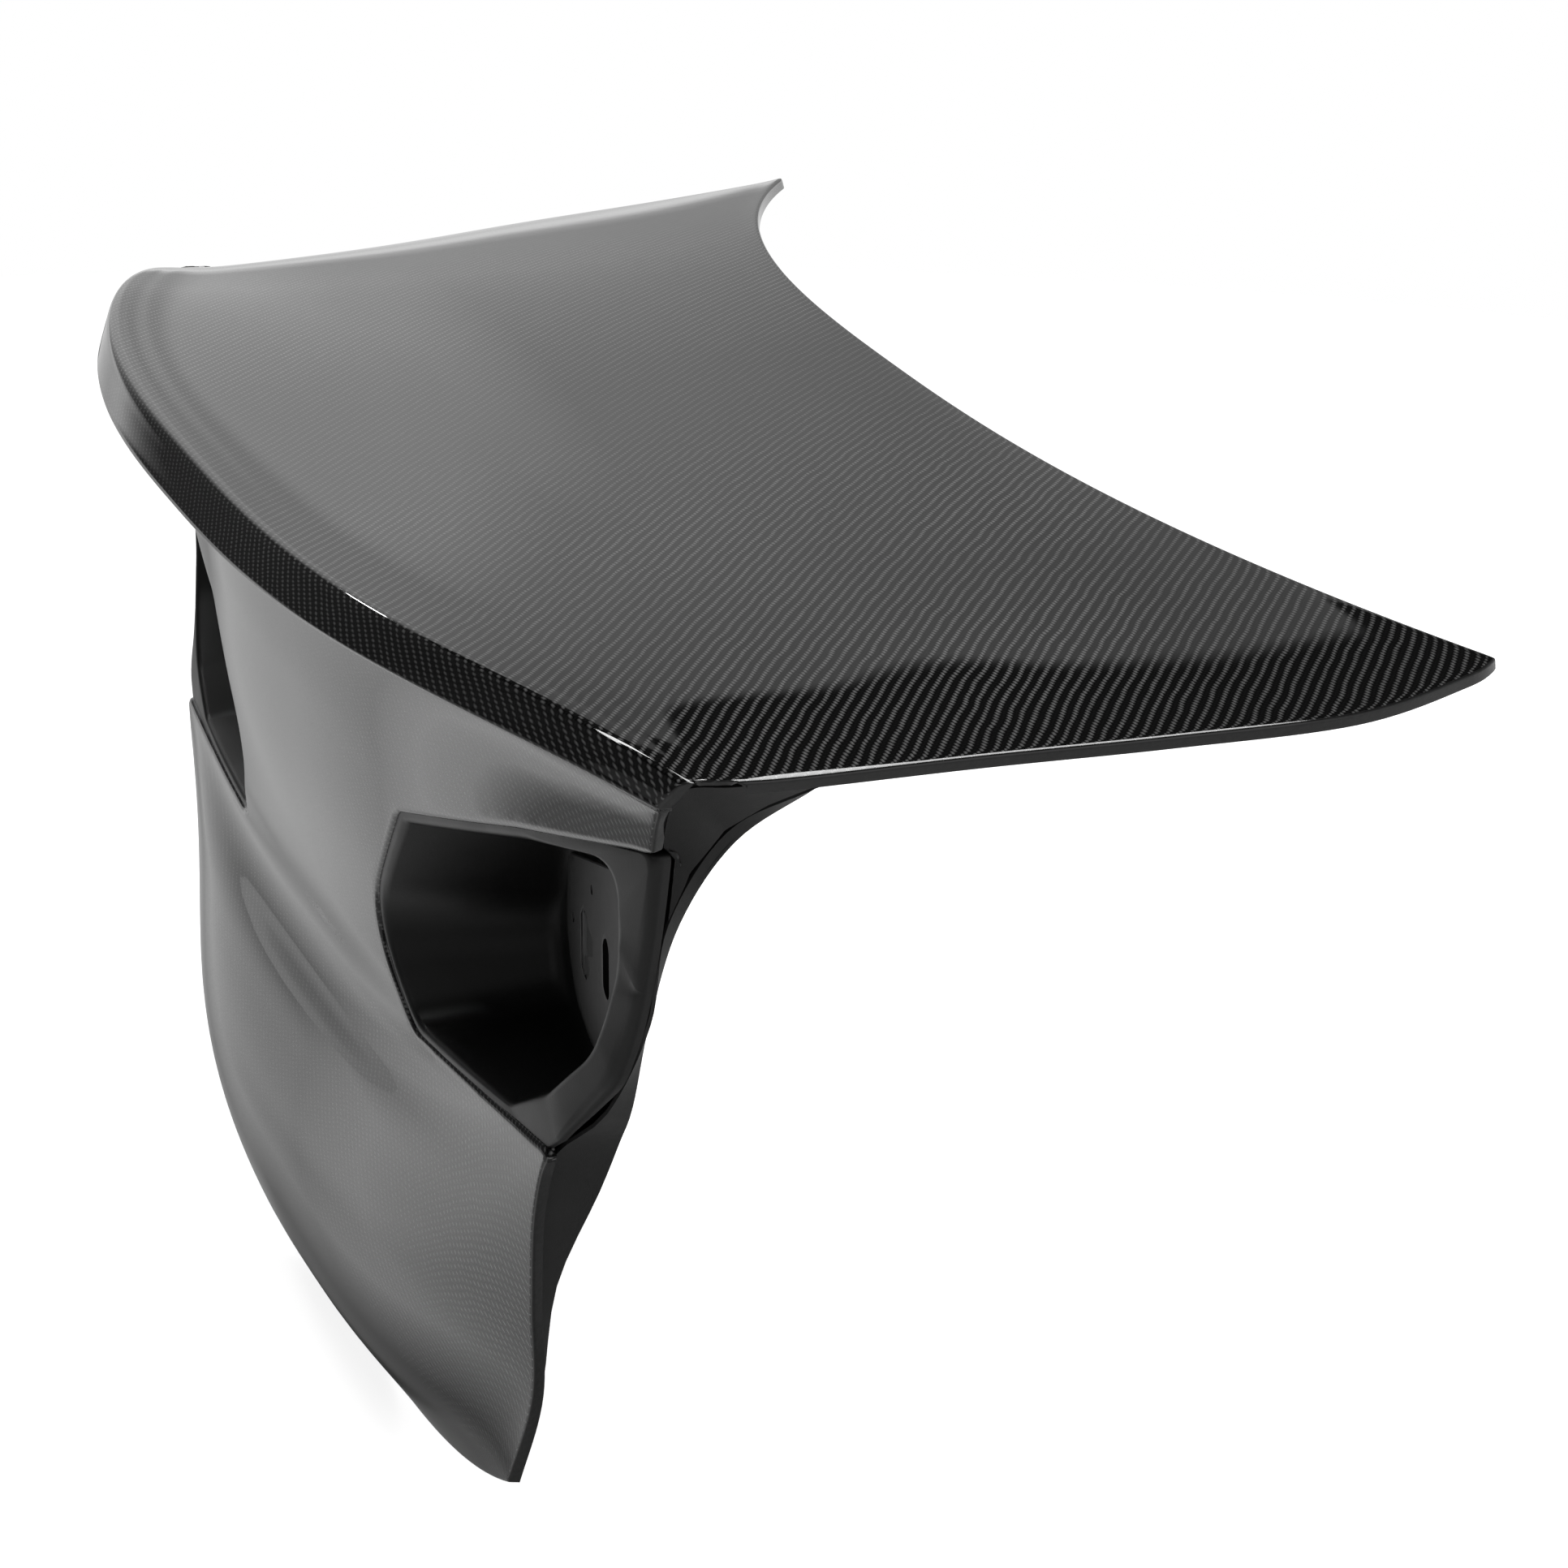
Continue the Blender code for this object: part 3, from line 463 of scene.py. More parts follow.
def rod(name, centre, axis, radius, length):
    """Round cutter along Y or Z."""
    turns = [math.tau * k / ROUND_STEPS for k in range(ROUND_STEPS)]
    a, b = (centre[0], centre[2]) if axis == "Y" else (centre[0], centre[1])
    middle = centre[1] if axis == "Y" else centre[2]
    ring = [(a + radius * math.cos(k), b + radius * math.sin(k)) for k in turns]
    return prism(name, [ring], middle - length / 2, middle + length / 2, axis)


def stands_for(item, node):
    """Shows an object in place of one of the part's nodes."""
    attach(item, "root")
    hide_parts(node)


# ------------------------ materials
def new_material(name):
    made = bpy.data.materials.new(name)
    made.use_nodes = True
    return made, made.node_tree, made.node_tree.nodes["Principled BSDF"]


def add_node(tree, kind, inputs=(), **settings):
    """Node with its inputs given in order, each a value or another node's socket."""
    made = tree.nodes.new(kind)
    for key, value in settings.items():
        setattr(made, key, value)
    for k, value in enumerate(inputs):
        if isinstance(value, bpy.types.NodeSocket):
            tree.links.new(value, made.inputs[k])
        elif value is not None:
            made.inputs[k].default_value = value
    return made


def maths(tree, operation, *values):
    return add_node(tree, "ShaderNodeMath", values, operation=operation).outputs[0]


def ramp(tree, factor, stops):
    """Colour ramp of (place, grey) stops."""
    made = add_node(tree, "ShaderNodeValToRGB", (factor,))
    elements = made.color_ramp.elements
    while len(elements) < len(stops):
        elements.new(0.5)
    for element, (place, grey) in zip(elements, stops):
        element.position = place
        element.color = (grey, grey, grey, 1)
    return made.outputs[0]


def noise(tree, vector, scale, detail=3, roughness=0.5):
    made = add_node(tree, "ShaderNodeTexNoise", (vector, None, scale, detail, roughness))
    return made.outputs["Fac"]


def bump(tree, height, distance, strength=1.0):
    """Normal of a surface that rises by a distance in metres where height is 1."""
    made = add_node(tree, "ShaderNodeBump")
    made.inputs["Strength"].default_value = strength
    made.inputs["Distance"].default_value = distance
    tree.links.new(height, made.inputs["Height"])
    return made.outputs[0]


def carbon(name):
    """2x2 twill of carbon tows under a clear coat, its lines wavering by a few tows; the cross tows carry
    a painted sheen.
    """
    made, tree, shader = new_material(name)
    weave = add_node(tree, "ShaderNodeUVMap", uv_map="weave").outputs[0]
    place = add_node(tree, "ShaderNodeTexCoord").outputs["Object"]

    def waver(scale, tows):
        return maths(tree, "MULTIPLY", maths(tree, "SUBTRACT", noise(tree, place, scale, 1), 0.5), tows)

    slow, quick = waver(4.0, 3.0), waver(40.0, 2.0)
    split = add_node(tree, "ShaderNodeSeparateXYZ", (weave,)).outputs
    drape = maths(tree, "MULTIPLY", maths(tree, "MULTIPLY", split[0], split[0]), DRAPE)
    draped = maths(tree, "SUBTRACT", split[1], drape)
    across_tows = maths(tree, "ADD", maths(tree, "DIVIDE", split[0], TOW), slow)
    along_tows = maths(tree, "SUBTRACT", maths(tree, "DIVIDE", draped, TOW),
                       maths(tree, "ADD", slow, quick))
    column, row = maths(tree, "FLOOR", across_tows), maths(tree, "FLOOR", along_tows)

    def crown(run, line, side, first):
        """Height of a tow of one family: nil where the other family passes over it."""
        along = maths(tree, "FLOORED_MODULO", maths(tree, "ADD", run, line), 4.0)
        along = maths(tree, "MULTIPLY", maths(tree, "SUBTRACT", along, first), 0.5)
        arch = maths(tree, "SINE", maths(tree, "MULTIPLY", along, math.pi))
        over = maths(tree, "MULTIPLY", maths(tree, "GREATER_THAN", along, 0.0),
                     maths(tree, "LESS_THAN", along, 1.0))
        width = maths(tree, "SINE", maths(tree, "MULTIPLY", maths(tree, "FRACT", side), math.pi))
        return maths(tree, "MULTIPLY", over, maths(tree, "MULTIPLY", arch, width))

    weft = crown(across_tows, row, along_tows, 2.0)
    warp = crown(along_tows, column, across_tows, 0.0)
    # The cross tows' light is a painted sheen, a lighter colour in place of the fibres' own reflection:
    # uneven from tow to tow and in patches, and stronger at the sides.
    light = maths(tree, "POWER", weft, 1.1)
    uneven = maths(tree, "ADD", 0.65, maths(tree, "MULTIPLY", 0.7, noise(tree, place, 90.0, 2)))
    light = maths(tree, "MULTIPLY", light, uneven)
    sideways = maths(tree, "ABSOLUTE", split[0])
    shown = add_node(tree, "ShaderNodeMapRange", (sideways, 0.05, 0.60, 0.45, 1.0)).outputs[0]
    patches = ramp(tree, noise(tree, place, 3.0, 2), ((0.35, 0.6), (0.65, 1.0)))
    shown = maths(tree, "MULTIPLY", shown, patches)
    light = maths(tree, "MULTIPLY", light, shown)
    tone = maths(tree, "ADD", maths(tree, "MULTIPLY", light, CROSS_TOW_SHEEN_GREY),
                 maths(tree, "MULTIPLY", warp, LONG_GREY))
    tone = maths(tree, "ADD", tone, GROUND_GREY)
    colour = add_node(tree, "ShaderNodeCombineXYZ", (tone, tone, tone)).outputs[0]
    tree.links.new(colour, shader.inputs["Base Color"])
    height = maths(tree, "MAXIMUM", weft, warp)
    tree.links.new(bump(tree, height, 0.00025, 0.6), shader.inputs["Normal"])
    shader.inputs["Roughness"].default_value = 0.5
    shader.inputs["Specular IOR Level"].default_value = 0.0
    shader.inputs["Coat Weight"].default_value = 1.0
    shader.inputs["Coat Roughness"].default_value = 0.035
    shader.inputs["Coat IOR"].default_value = 1.5
    ripple = noise(tree, place, 14.0, 2)
    tree.links.new(bump(tree, ripple, 0.0006, 0.12), shader.inputs["Coat Normal"])
    return made


def resin(name):
    """Trimmed edge sealed with clear resin: near black and glossy, with a few pits."""
    made, tree, shader = new_material(name)
    place = add_node(tree, "ShaderNodeTexCoord").outputs["Object"]
    pits = noise(tree, place, 220.0, 3, 0.6)
    tree.links.new(ramp(tree, pits, ((0.35, 0.003), (0.70, 0.009))), shader.inputs["Base Color"])
    tree.links.new(bump(tree, pits, 0.0002), shader.inputs["Normal"])
    shader.inputs["Roughness"].default_value = 0.5
    shader.inputs["Specular IOR Level"].default_value = 0.2
    shader.inputs["Coat Weight"].default_value = 1.0
    shader.inputs["Coat Roughness"].default_value = 0.08
    return made


def moulded(name, grey, roughness):
    """Satin black moulding with a faint pebble and a little handling wear."""
    made, tree, shader = new_material(name)
    place = add_node(tree, "ShaderNodeTexCoord").outputs["Object"]
    pebble = noise(tree, place, 900.0, 2)
    patches = noise(tree, place, 9.0, 4, 0.6)
    tones = ((0.3, grey * 0.8), (0.7, grey * 1.25))
    tree.links.new(ramp(tree, patches, tones), shader.inputs["Base Color"])
    tree.links.new(ramp(tree, patches, ((0.3, roughness - 0.05), (0.7, roughness + 0.07))),
                   shader.inputs["Roughness"])
    shader.inputs["Specular IOR Level"].default_value = 0.35
    tree.links.new(bump(tree, pebble, 0.00006), shader.inputs["Normal"])
    return made


def zinc(name):
    """Zinc plate with a faint spangle."""
    made, tree, shader = new_material(name)
    place = add_node(tree, "ShaderNodeTexCoord").outputs["Object"]
    spangle = noise(tree, place, 160.0, 3)
    tree.links.new(ramp(tree, spangle, ((0.3, 0.42), (0.7, 0.62))), shader.inputs["Base Color"])
    tree.links.new(ramp(tree, spangle, ((0.3, 0.30), (0.7, 0.44))), shader.inputs["Roughness"])
    shader.inputs["Metallic"].default_value = 1.0
    return made


def adhesive(name):
    """Dark, lumpy structural adhesive."""
    made, tree, shader = new_material(name)
    place = add_node(tree, "ShaderNodeTexCoord").outputs["Object"]
    lumps = noise(tree, place, 120.0, 4)
    tree.links.new(ramp(tree, lumps, ((0.3, 0.020), (0.7, 0.045))), shader.inputs["Base Color"])
    shader.inputs["Roughness"].default_value = 0.7
    tree.links.new(bump(tree, lumps, 0.0005), shader.inputs["Normal"])
    return made


CARBON = carbon("carbon_twill")
RESIN = resin("edge_resin")
POCKET_BLACK = moulded("pocket_moulding", 0.010, 0.42)
# Painted shade: a darker, rougher black for the inside of the pockets' slots.
SLOT_PAINTED_SHADE = moulded("slot_painted_shade", 0.003, 0.9)
FRAME_BLACK = moulded("frame_moulding", 0.020, 0.46)
GUSSET_BLACK = moulded("gusset_moulding", 0.008, 0.36)
ZINC = zinc("zinc_plate")
ADHESIVE = adhesive("adhesive")


# ------------------------ outer skin
def spread(count):
    """Places from the left end of a line (-1) to its right end (1), closer at the ends."""
    half = 1 - (1 - np.arange(count + 1) / count) ** COLUMN_CROWDING
    return np.concatenate([-half[:0:-1], half])


def skin_rows():
    """Rows of the skin's face, and the weave's coordinates: u to the right, v forward."""
    table = line_table(SKIN_LINES, SKIN_FINER)
    grid = np.array([across(line, spread(SKIN_COLUMNS)) for line in table])
    lengths = np.linalg.norm(np.diff(grid, axis=0), axis=-1)
    v = grid[0, :, 1] - np.concatenate([np.zeros((1, grid.shape[1])), np.cumsum(lengths, axis=0)])
    return grid, np.stack([grid[:, :, 0], v], axis=-1)


def rear_y(x, z):
    """How far back the rear face of the skin is at places seen from behind."""
    table = line_table(SKIN_LINES[LOWER_LIP_LINE:], REAR_FINER)
    out = []
    for a, b in np.stack([np.abs(x), z], axis=-1).reshape(-1, 2):
        t = a / table[:, 0]
        heights = table[:, 4] + (table[:, 2] - table[:, 4]) * t ** table[:, 6]
        depths = table[:, 3] + (table[:, 1] - table[:, 3]) * t ** table[:, 5]
        out.append(np.interp(-b, -heights, depths))
    return np.array(out).reshape(np.shape(x))


def outside_by(points, outline):
    """Signed distance of (x, z) points from a closed outline, positive outside it."""
    best = np.full(len(points), np.inf)
    inside = np.zeros(len(points), bool)
    for a, b in zip(outline, np.roll(outline, -1, axis=0)):
        run = b - a
        s = np.clip(((points - a) @ run) / (run @ run), 0, 1)[:, None]
        best = np.minimum(best, np.linalg.norm(points - a - run * s, axis=1))
        spans = (a[1] > points[:, 1]) != (b[1] > points[:, 1])
        rise = b[1] - a[1] if b[1] != a[1] else 1
        crossing = a[0] + (points[:, 1] - a[1]) / rise * run[0]
        inside ^= spans & (points[:, 0] < crossing)
    return np.where(inside, -best, best)


def cut_grid(grid, weave, room):
    """Points, weave and faces of a grid's part where room is positive."""
    rows, columns = room.shape
    points, places, faces, crossings = list(grid.reshape(-1, 3)), list(weave.reshape(-1, 2)), [], {}

    def crossing(a, b):
        key = (min(a, b), max(a, b))
        if key not in crossings:
            s = room.flat[a] / (room.flat[a] - room.flat[b])
            crossings[key] = len(points)
            points.append(points[a] * (1 - s) + points[b] * s)
            places.append(places[a] * (1 - s) + places[b] * s)
        return crossings[key]

    for i in range(rows - 1):
        for j in range(columns - 1):
            a, b = i * columns + j, (i + 1) * columns + j
            corners = [a, b, b + 1, a + 1]
            face = []
            for a, b in zip(corners, corners[1:] + corners[:1]):
                if room.flat[a] > 0:
                    face.append(a)
                if (room.flat[a] > 0) != (room.flat[b] > 0):
                    face.append(crossing(a, b))
            if len(face) > 2:
                faces.append(face)
    used = sorted({v for face in faces for v in face})
    order = {v: k for k, v in enumerate(used)}
    faces = [[order[v] for v in face] for face in faces]
    return np.array(points)[used], np.array(places)[used], faces


def edge_loop(faces):
    """Vertices round the one open edge of some faces, in the order the faces run."""
    edges = {(face[k - 1], face[k]) for face in faces for k in range(len(face))}
    follow = {a: b for a, b in edges if (b, a) not in edges}
    start = next(iter(follow))
    loop = [start]
    while follow[loop[-1]] != start:
        loop.append(follow[loop[-1]])
    return loop


def eased_round(values, times):
    """Values round a loop, each blended with its neighbours some times over."""
    for _ in range(times):
        values = (np.roll(values, 1, axis=0) + 2 * values + np.roll(values, -1, axis=0)) / 4
    return values


def outer_skin():
    """The skin as one sheet, its outer edges and its lamp openings' edges turned in."""
    grid, weave = skin_rows()
    grid, weave = [np.delete(np.delete(table, 1, axis=0), (1, -2), axis=1) for table in (grid, weave)]
    rows, columns = grid.shape[:2]
    for edge, inner in ((0, 1), (-1, -2)):          # leave room for the turned edges
        grid[edge] += unit(grid[inner] - grid[edge]) * TURN
        grid[:, edge] += unit(grid[:, inner] - grid[:, edge]) * TURN
    room = np.ones((rows, columns))
    first = SKIN_FINER * int(sum(line[7] for line in SKIN_LINES[:TUCK_LINE]))
    seen = np.stack([np.abs(grid[first:, :, 0]), grid[first:, :, 2]], axis=-1)
    away = outside_by(seen.reshape(-1, 2), rounded(LAMP_OPENING, 16, 0)) - OPENING_TURN
    room[first:] = away.reshape(seen.shape[:2])
    points, places, faces = cut_grid(grid, weave, room)

    normals = np.zeros_like(points)
    for face in faces:
        normals[face] += np.cross(points[face[2]] - points[face[0]], points[face[-1]] - points[face[1]])
    normals = unit(normals)
    loop = edge_loop(faces)
    edge, facing = points[loop], normals[loop]
    ahead = unit(np.roll(edge, -1, axis=0) - np.roll(edge, 1, axis=0))
    out = unit(eased_round(np.cross(ahead, facing), 3))
    behind = np.stack([np.abs(edge[:, 0]), edge[:, 2]], axis=-1)
    to_opening = outside_by(behind, rounded(LAMP_OPENING, 16, 0))
    opening = (np.abs(to_opening - OPENING_TURN) < OPENING_EDGE) & (edge[:, 1] < 0.0)
    opening &= edge[:, 2] > OPENING_FOOT
    opening = eased_round(opening.astype(float), 4)[:, None]
    least_x, most_y, least_z = LIP_CORNER
    near_lip = (edge[:, 2] > least_z) & (np.abs(edge[:, 0]) > least_x) & (edge[:, 1] < most_y)
    near_lip = eased_round(near_lip.astype(float), 6)[:, None]
    down = -eased_round(facing, 6)
    down = unit(down * (1 - near_lip) + np.array([0, 1.0, 0]) * near_lip)
    wide = TURN + (OPENING_TURN - TURN) * opening
    deep = TURN + (OPENING_TURN * 0.7 - TURN) * opening
    depth = HEM + (OPENING_TURN - HEM) * opening
    upward = np.cross(facing, np.array([1.0, 0, 0]))
    step = np.stack([out[:, 0], (out * upward).sum(axis=1)], axis=-1)
    rings = [edge + out * wide * (2 * s - s * s) + down * deep * s * s
             for s in np.linspace(0, 1, TURN_STEPS + 1)[1:]]
    rings.append(edge + out * wide + down * depth)
    before, before_at, previous = edge, places[loop], loop
    sheet_faces = len(faces)
    for ring in rings:
        first_new = len(points)
        before_at = before_at + step * np.linalg.norm(ring - before, axis=1, keepdims=True)
        points, places = np.concatenate([points, ring]), np.concatenate([places, before_at])
        fresh = list(range(first_new, first_new + len(loop)))
        for k in range(len(loop)):
            faces.append([previous[k - 1], fresh[k - 1], fresh[k], previous[k]])
        before, previous = ring, fresh
    skin = add_object("skin", points, faces, CARBON, places)
    skin.data.materials.append(RESIN)
    for ring in range(2, len(rings)):               # the trimmed edge beyond the first two rings
        for k in range(len(loop)):
            if opening[k, 0] < 0.5:
                skin.data.polygons[sheet_faces + ring * len(loop) + k].material_index = 1
    thick = skin.modifiers.new("thickness", "SOLIDIFY")
    thick.thickness = SKIN
    thick.offset = -1
    thick.use_even_offset = False
    apply_modifiers(skin)
    resmooth(skin)
    stands_for(skin, "outer_skin")


# ------------------------ lamp pockets
def platform_y(x):
    return PLATFORM_Y + (PLATFORM_X - x) * PLATFORM_RAKE


def pocket_rows():
    """Loops of the right pocket's face from the edge of its flange to its platform."""
    edge, mouth, foot, top = [rounded(outline) for outline in
                              (POCKET_FLANGE, POCKET_MOUTH, POCKET_FOOT, POCKET_PLATFORM)]
    outboard = np.clip((edge[:, 0] - SKIRT_FROM) / FADE, 0, 1)
    face = rear_y(edge[:, 0], edge[:, 1]) + SKIN + 2 * GAP
    inset = unit(mouth - edge) * (SKIRT_ROUND * outboard)[:, None]
    turned, shoulder = edge + inset * 0.3, edge + inset
    depth = PLATFORM_HEIGHT * np.clip((STEP_UP_TO - foot[:, 0]) / FADE, 0, 1)
    base = top + unit(foot - top) * 0.0025

    def at(points, y, shift=0.0):
        return np.stack([points[:, 0] + shift, y, points[:, 1]], axis=-1)

    loops = [
        at(edge, face + 0.001 + SKIRT * outboard, -0.002 * outboard),
        at(edge, face + 0.0005 + SKIRT_ROUND * outboard),
        at(turned, face + 0.3 * SKIRT_ROUND * outboard),
        at(shoulder, face, 0.0005),
        at(mouth, rear_y(mouth[:, 0], mouth[:, 1]) + SKIN + 2 * GAP),
        at(foot, platform_y(foot[:, 0]) + depth),
        at(base, platform_y(base[:, 0]) + depth),
        at(top, platform_y(top[:, 0])),
    ]
    rows = list(eased(np.array(loops), POCKET_ROUNDS)[:-1])
    middle = top.mean(axis=0)
    for s in (1.0, 0.985, 0.9, 0.75, 0.55, 0.35, 0.15, 0.02):
        ring = middle + (top - middle) * s
        rows.append(at(ring, platform_y(ring[:, 0]) + (0.0006 if s == 1.0 else 0)))
    return np.array(rows)


def slot_outline(x, z, half, radius):
    """Upright slot with round ends, whose straight part is half long each way."""
    turns = (np.arange(ROUND_STEPS) + 0.5) * math.tau / ROUND_STEPS
    up = half * np.sign(np.sin(turns)) + radius * np.sin(turns)
    return np.stack([x + radius * np.cos(turns), z + up], axis=-1)


def pocket(side, name):
    """Lamp pocket: a lofted tray with two blind slots and three holes for the lamp's studs; the slots'
    insides take painted shade.
    """
    rows = pocket_rows() * (side, 1, 1)
    around = np.concatenate([rows[:, -1:], rows, rows[:, :1]], axis=1)
    normals = grid_normals(around)[:, 1:-1]
    normals *= -np.sign(normals[-1, 0, 1])
    centre = np.repeat(rows[-1:].mean(axis=1, keepdims=True), rows.shape[1], axis=1)
    rows = np.concatenate([rows, centre])
    normals = np.concatenate([normals, normals[-1:]])
    made = shell("pocket_" + name, rows, normals, POCKET_BLACK, closed=True)
    weld(made)
    for x, z, half in SLOTS:
        bottom = platform_y(x) + SLOT_DEPTH
        cup = slot_outline(side * x, z, half, SLOT_RADIUS + MOULDING)
        combine(made, prism("cup", [cup], bottom - CUP_BITE, bottom + MOULDING, "Y"), "UNION")
    for x, z, half in SLOTS:
        bottom = platform_y(x) + SLOT_DEPTH
        hollow = slot_outline(side * x, z, half, SLOT_RADIUS)
        combine(made, prism("slot", [hollow], bottom - 2 * SLOT_DEPTH, bottom, "Y"), "DIFFERENCE")
    for x, z in STUD_HOLES:
        combine(made, rod("stud_hole", (side * x, 0.04, z), "Y", STUD_HOLE_RADIUS, 0.08), "DIFFERENCE")
    made.data.materials.clear()
    made.data.materials.append(POCKET_BLACK)
    made.data.materials.append(SLOT_PAINTED_SHADE)
    # Faces sunk inside a slot get the painted shade.
    for face in made.data.polygons:
        at = face.center + DATUM
        in_slot = any(abs(side * at.x - x) < SLOT_RADIUS * 1.02
                      and abs(at.z - z) < (half + SLOT_RADIUS) * 1.02 for x, z, half in SLOTS)
        sunk = at.y > platform_y(side * at.x) + 0.0008
        face.material_index = int(in_slot and sunk)
    resmooth(made)
    stands_for(made, "lamp_pocket_" + name)


# ------------------------ inner frame
def skin_line_at(end_y):
    """The line of the skin's deck whose ends are at a given y."""
    deck = line_table(SKIN_LINES[:LIP_LINE + 1], 6)
    return [np.interp(-end_y, -deck[:, 1], deck[:, k]) for k in range(7)]


def marks(pairs, finer):
    """Finer places along (place, mark) pairs, and the mark there with soft steps."""
    places, levels = [], []
    for (a, low), (b, high) in zip(pairs, pairs[1:]):
        count = finer if low == high else finer + 3
        for s in np.arange(count) / count:
            places.append(a + (b - a) * s)
            levels.append(low + (high - low) * smooth(s))
    return np.array(places + [pairs[-1][0]]), np.array(levels + [pairs[-1][1]])


def frame_rows():
    """Right half of the frame's visible face: rows under the deck, then down the rear."""
    flange_depth = SKIN + BEAD + MOULDING + 4 * GAP
    t, column_hat = marks(FRAME_COLUMNS, 3)
    inside = t < 0.928
    grid = []
    for end_y, row_hat in zip(*marks(DECK_ROWS, 3)):
        depth = flange_depth + HAT * np.maximum(row_hat * inside, column_hat)
        row = across(skin_line_at(end_y), t)
        row[:, 2] -= depth
        grid.append(row)
    rear = line_table(FRAME_LINES, 4)
    webs = through(WEB_EDGE, [int(line[7]) * 4 for line in FRAME_LINES])
    last_hat = FRAME_COLUMNS[-4][0]
    body = t <= last_hat
    side = np.concatenate([t[body], np.linspace(last_hat, 1.0, (~body).sum() + 1 - 4)[1:]])
    levels = np.concatenate([column_hat[body], np.ones(len(side) - body.sum())])
    for line, web in zip(rear, webs):
        row = across(line, side)
        hats = smooth((REAR_HATS_FROM - line[2]) / 0.03)
        bottom = smooth((line[2] - rear[-1, 2]) / 0.012) if hats > 0.5 else 1
        flange_y = rear_y(row[:, 0], row[:, 2]) + flange_depth * 1.15
        flat = hats * (1 - levels * bottom) * (side <= last_hat)
        row[:, 1] = row[:, 1] * (1 - flat) + flange_y * flat
        tail = np.array([row[-1] * (1 - s) + web * s for s in (0.25, 0.5, 0.75, 1.0)])
        grid.append(np.concatenate([row, tail]))
    return np.array(grid)


def coarse_row(index):
    """Line across the car under the frame's row of that number, counted as in the part."""
    if index < len(DECK_ROWS):
        return skin_line_at(DECK_ROWS[index][0])
    return line_table(FRAME_LINES)[index - len(DECK_ROWS)]


def window_outline(first_row, last_row, first_column, last_column, axis):
    """Corners of a window with rounded corners, as (x, y) or (x, z)."""
    corners = []
    low, high = FRAME_COLUMNS[first_column][0], FRAME_COLUMNS[last_column][0]
    for index, places in ((first_row, (low, high)), (last_row, (high, low))):
        for t in places:
            x, y, z = across(coarse_row(index), t)
            corners.append((x, y if axis == "Z" else z, WINDOW_CORNER))
    return rounded(corners, 8, 0)


def inner_frame():
    """The moulding behind the skin, with its windows, its cut-outs for the pockets and its bosses."""
    half = frame_rows()
    grid = np.concatenate([half[:, :0:-1] * (-1, 1, 1), half], axis=1)
    normals = grid_normals(grid)
    middle = grid.shape[1] // 2
    normals *= -np.sign(normals[4, middle, 2])
    made = shell("frame", grid, normals, FRAME_BLACK)
    for first_row, last_row, first_column, last_column in WINDOWS:
        axis = "Z" if last_row < len(DECK_ROWS) else "Y"
        span = (-0.06, 0.09) if axis == "Z" else (-0.16, 0.06)
        outline = window_outline(first_row, last_row, first_column, last_column, axis)
        both = [outline, outline * (-1, 1)]
        combine(made, prism("window", both, *span, axis), "DIFFERENCE")
    for side, _ in SIDES:
        outline = rounded(grown(POCKET_MOUTH, POCKET_CLEARANCE), 8, 0) * (side, 1)
        combine(made, prism("pocket_clearance", [outline], -0.20, 0.09, "Y"), "DIFFERENCE")
        low_x, high_x = sorted((side * HINGE_PAD[0], side * HINGE_PAD[1]))
        combine(made, block("hinge_boss", (low_x, high_x, *HINGE_PAD[2:]), FRAME_BLACK), "UNION")
        for x, y in HINGE_BOLTS:
            hole = rod("hinge_hole", (side * x, y, 0), "Z", HINGE_HOLE_RADIUS, 0.06)
            combine(made, hole, "DIFFERENCE")
    combine(made, block("latch_boss", LATCH_PAD, FRAME_BLACK), "UNION")
    for x, z in LATCH_BOLTS:
        hole = rod("latch_hole", (x, -0.06, z), "Y", LATCH_HOLE_RADIUS, 0.05)
        combine(made, hole, "DIFFERENCE")
    resmooth(made)
    stands_for(made, "inner_frame")


# ------------------------ gussets, beads, fixings
def gusset(side, name):
    """The piece that closes the corner between the deck, the lip and the frame's web."""
    curve = through(WEB_EDGE, [int(line[7]) for line in FRAME_LINES])
    edge = np.array(GUSSET_EDGE)
    top = through(edge[:, :3], [8] * (len(edge) - 1))
    places = through(edge[:, 3:], [8] * (len(edge) - 1))[:, 0]
    web = np.array([np.interp(places, range(len(curve)), curve[:, k]) for k in range(3)]).T
    web = web + unit(top - web) * GUSSET_JOINT
    grid = np.array([top * (1 - s) + web * s for s in np.linspace(0, 1, 9)]) * (side, 1, 1)
    normals = grid_normals(grid)
    normals *= np.sign(normals[4, 4, 0] * side)
    made = shell("gusset_" + name, grid, normals, GUSSET_BLACK)
    stands_for(made, "corner_gusset_" + name)


def carried_over():
    """Finishes of the nodes that are shown as they are in the part."""
    for name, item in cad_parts.items():
        if "nut" in name or "_plate" in name:
            finish = ZINC
        elif name.startswith("bead"):
            finish = ADHESIVE
        else:
            continue
        item.data.materials.clear()
        item.data.materials.append(finish)
        edges = item.modifiers.new("worn edges", "BEVEL")
        edges.width = WORN_EDGE
        edges.segments = 2
        edges.limit_method = "ANGLE"


# ------------------------ studio
def behind_slant(tree, split):
    """How far a place or direction is behind the slanting line."""
    return maths(tree, "SUBTRACT", maths(tree, "MULTIPLY", split[0], SLANT), split[1])


def seen_directly(tree, path):
    """1 where the camera looks, straight or through something clear."""
    return maths(tree, "MAXIMUM", path["Is Camera Ray"], path["Is Transmission Ray"])


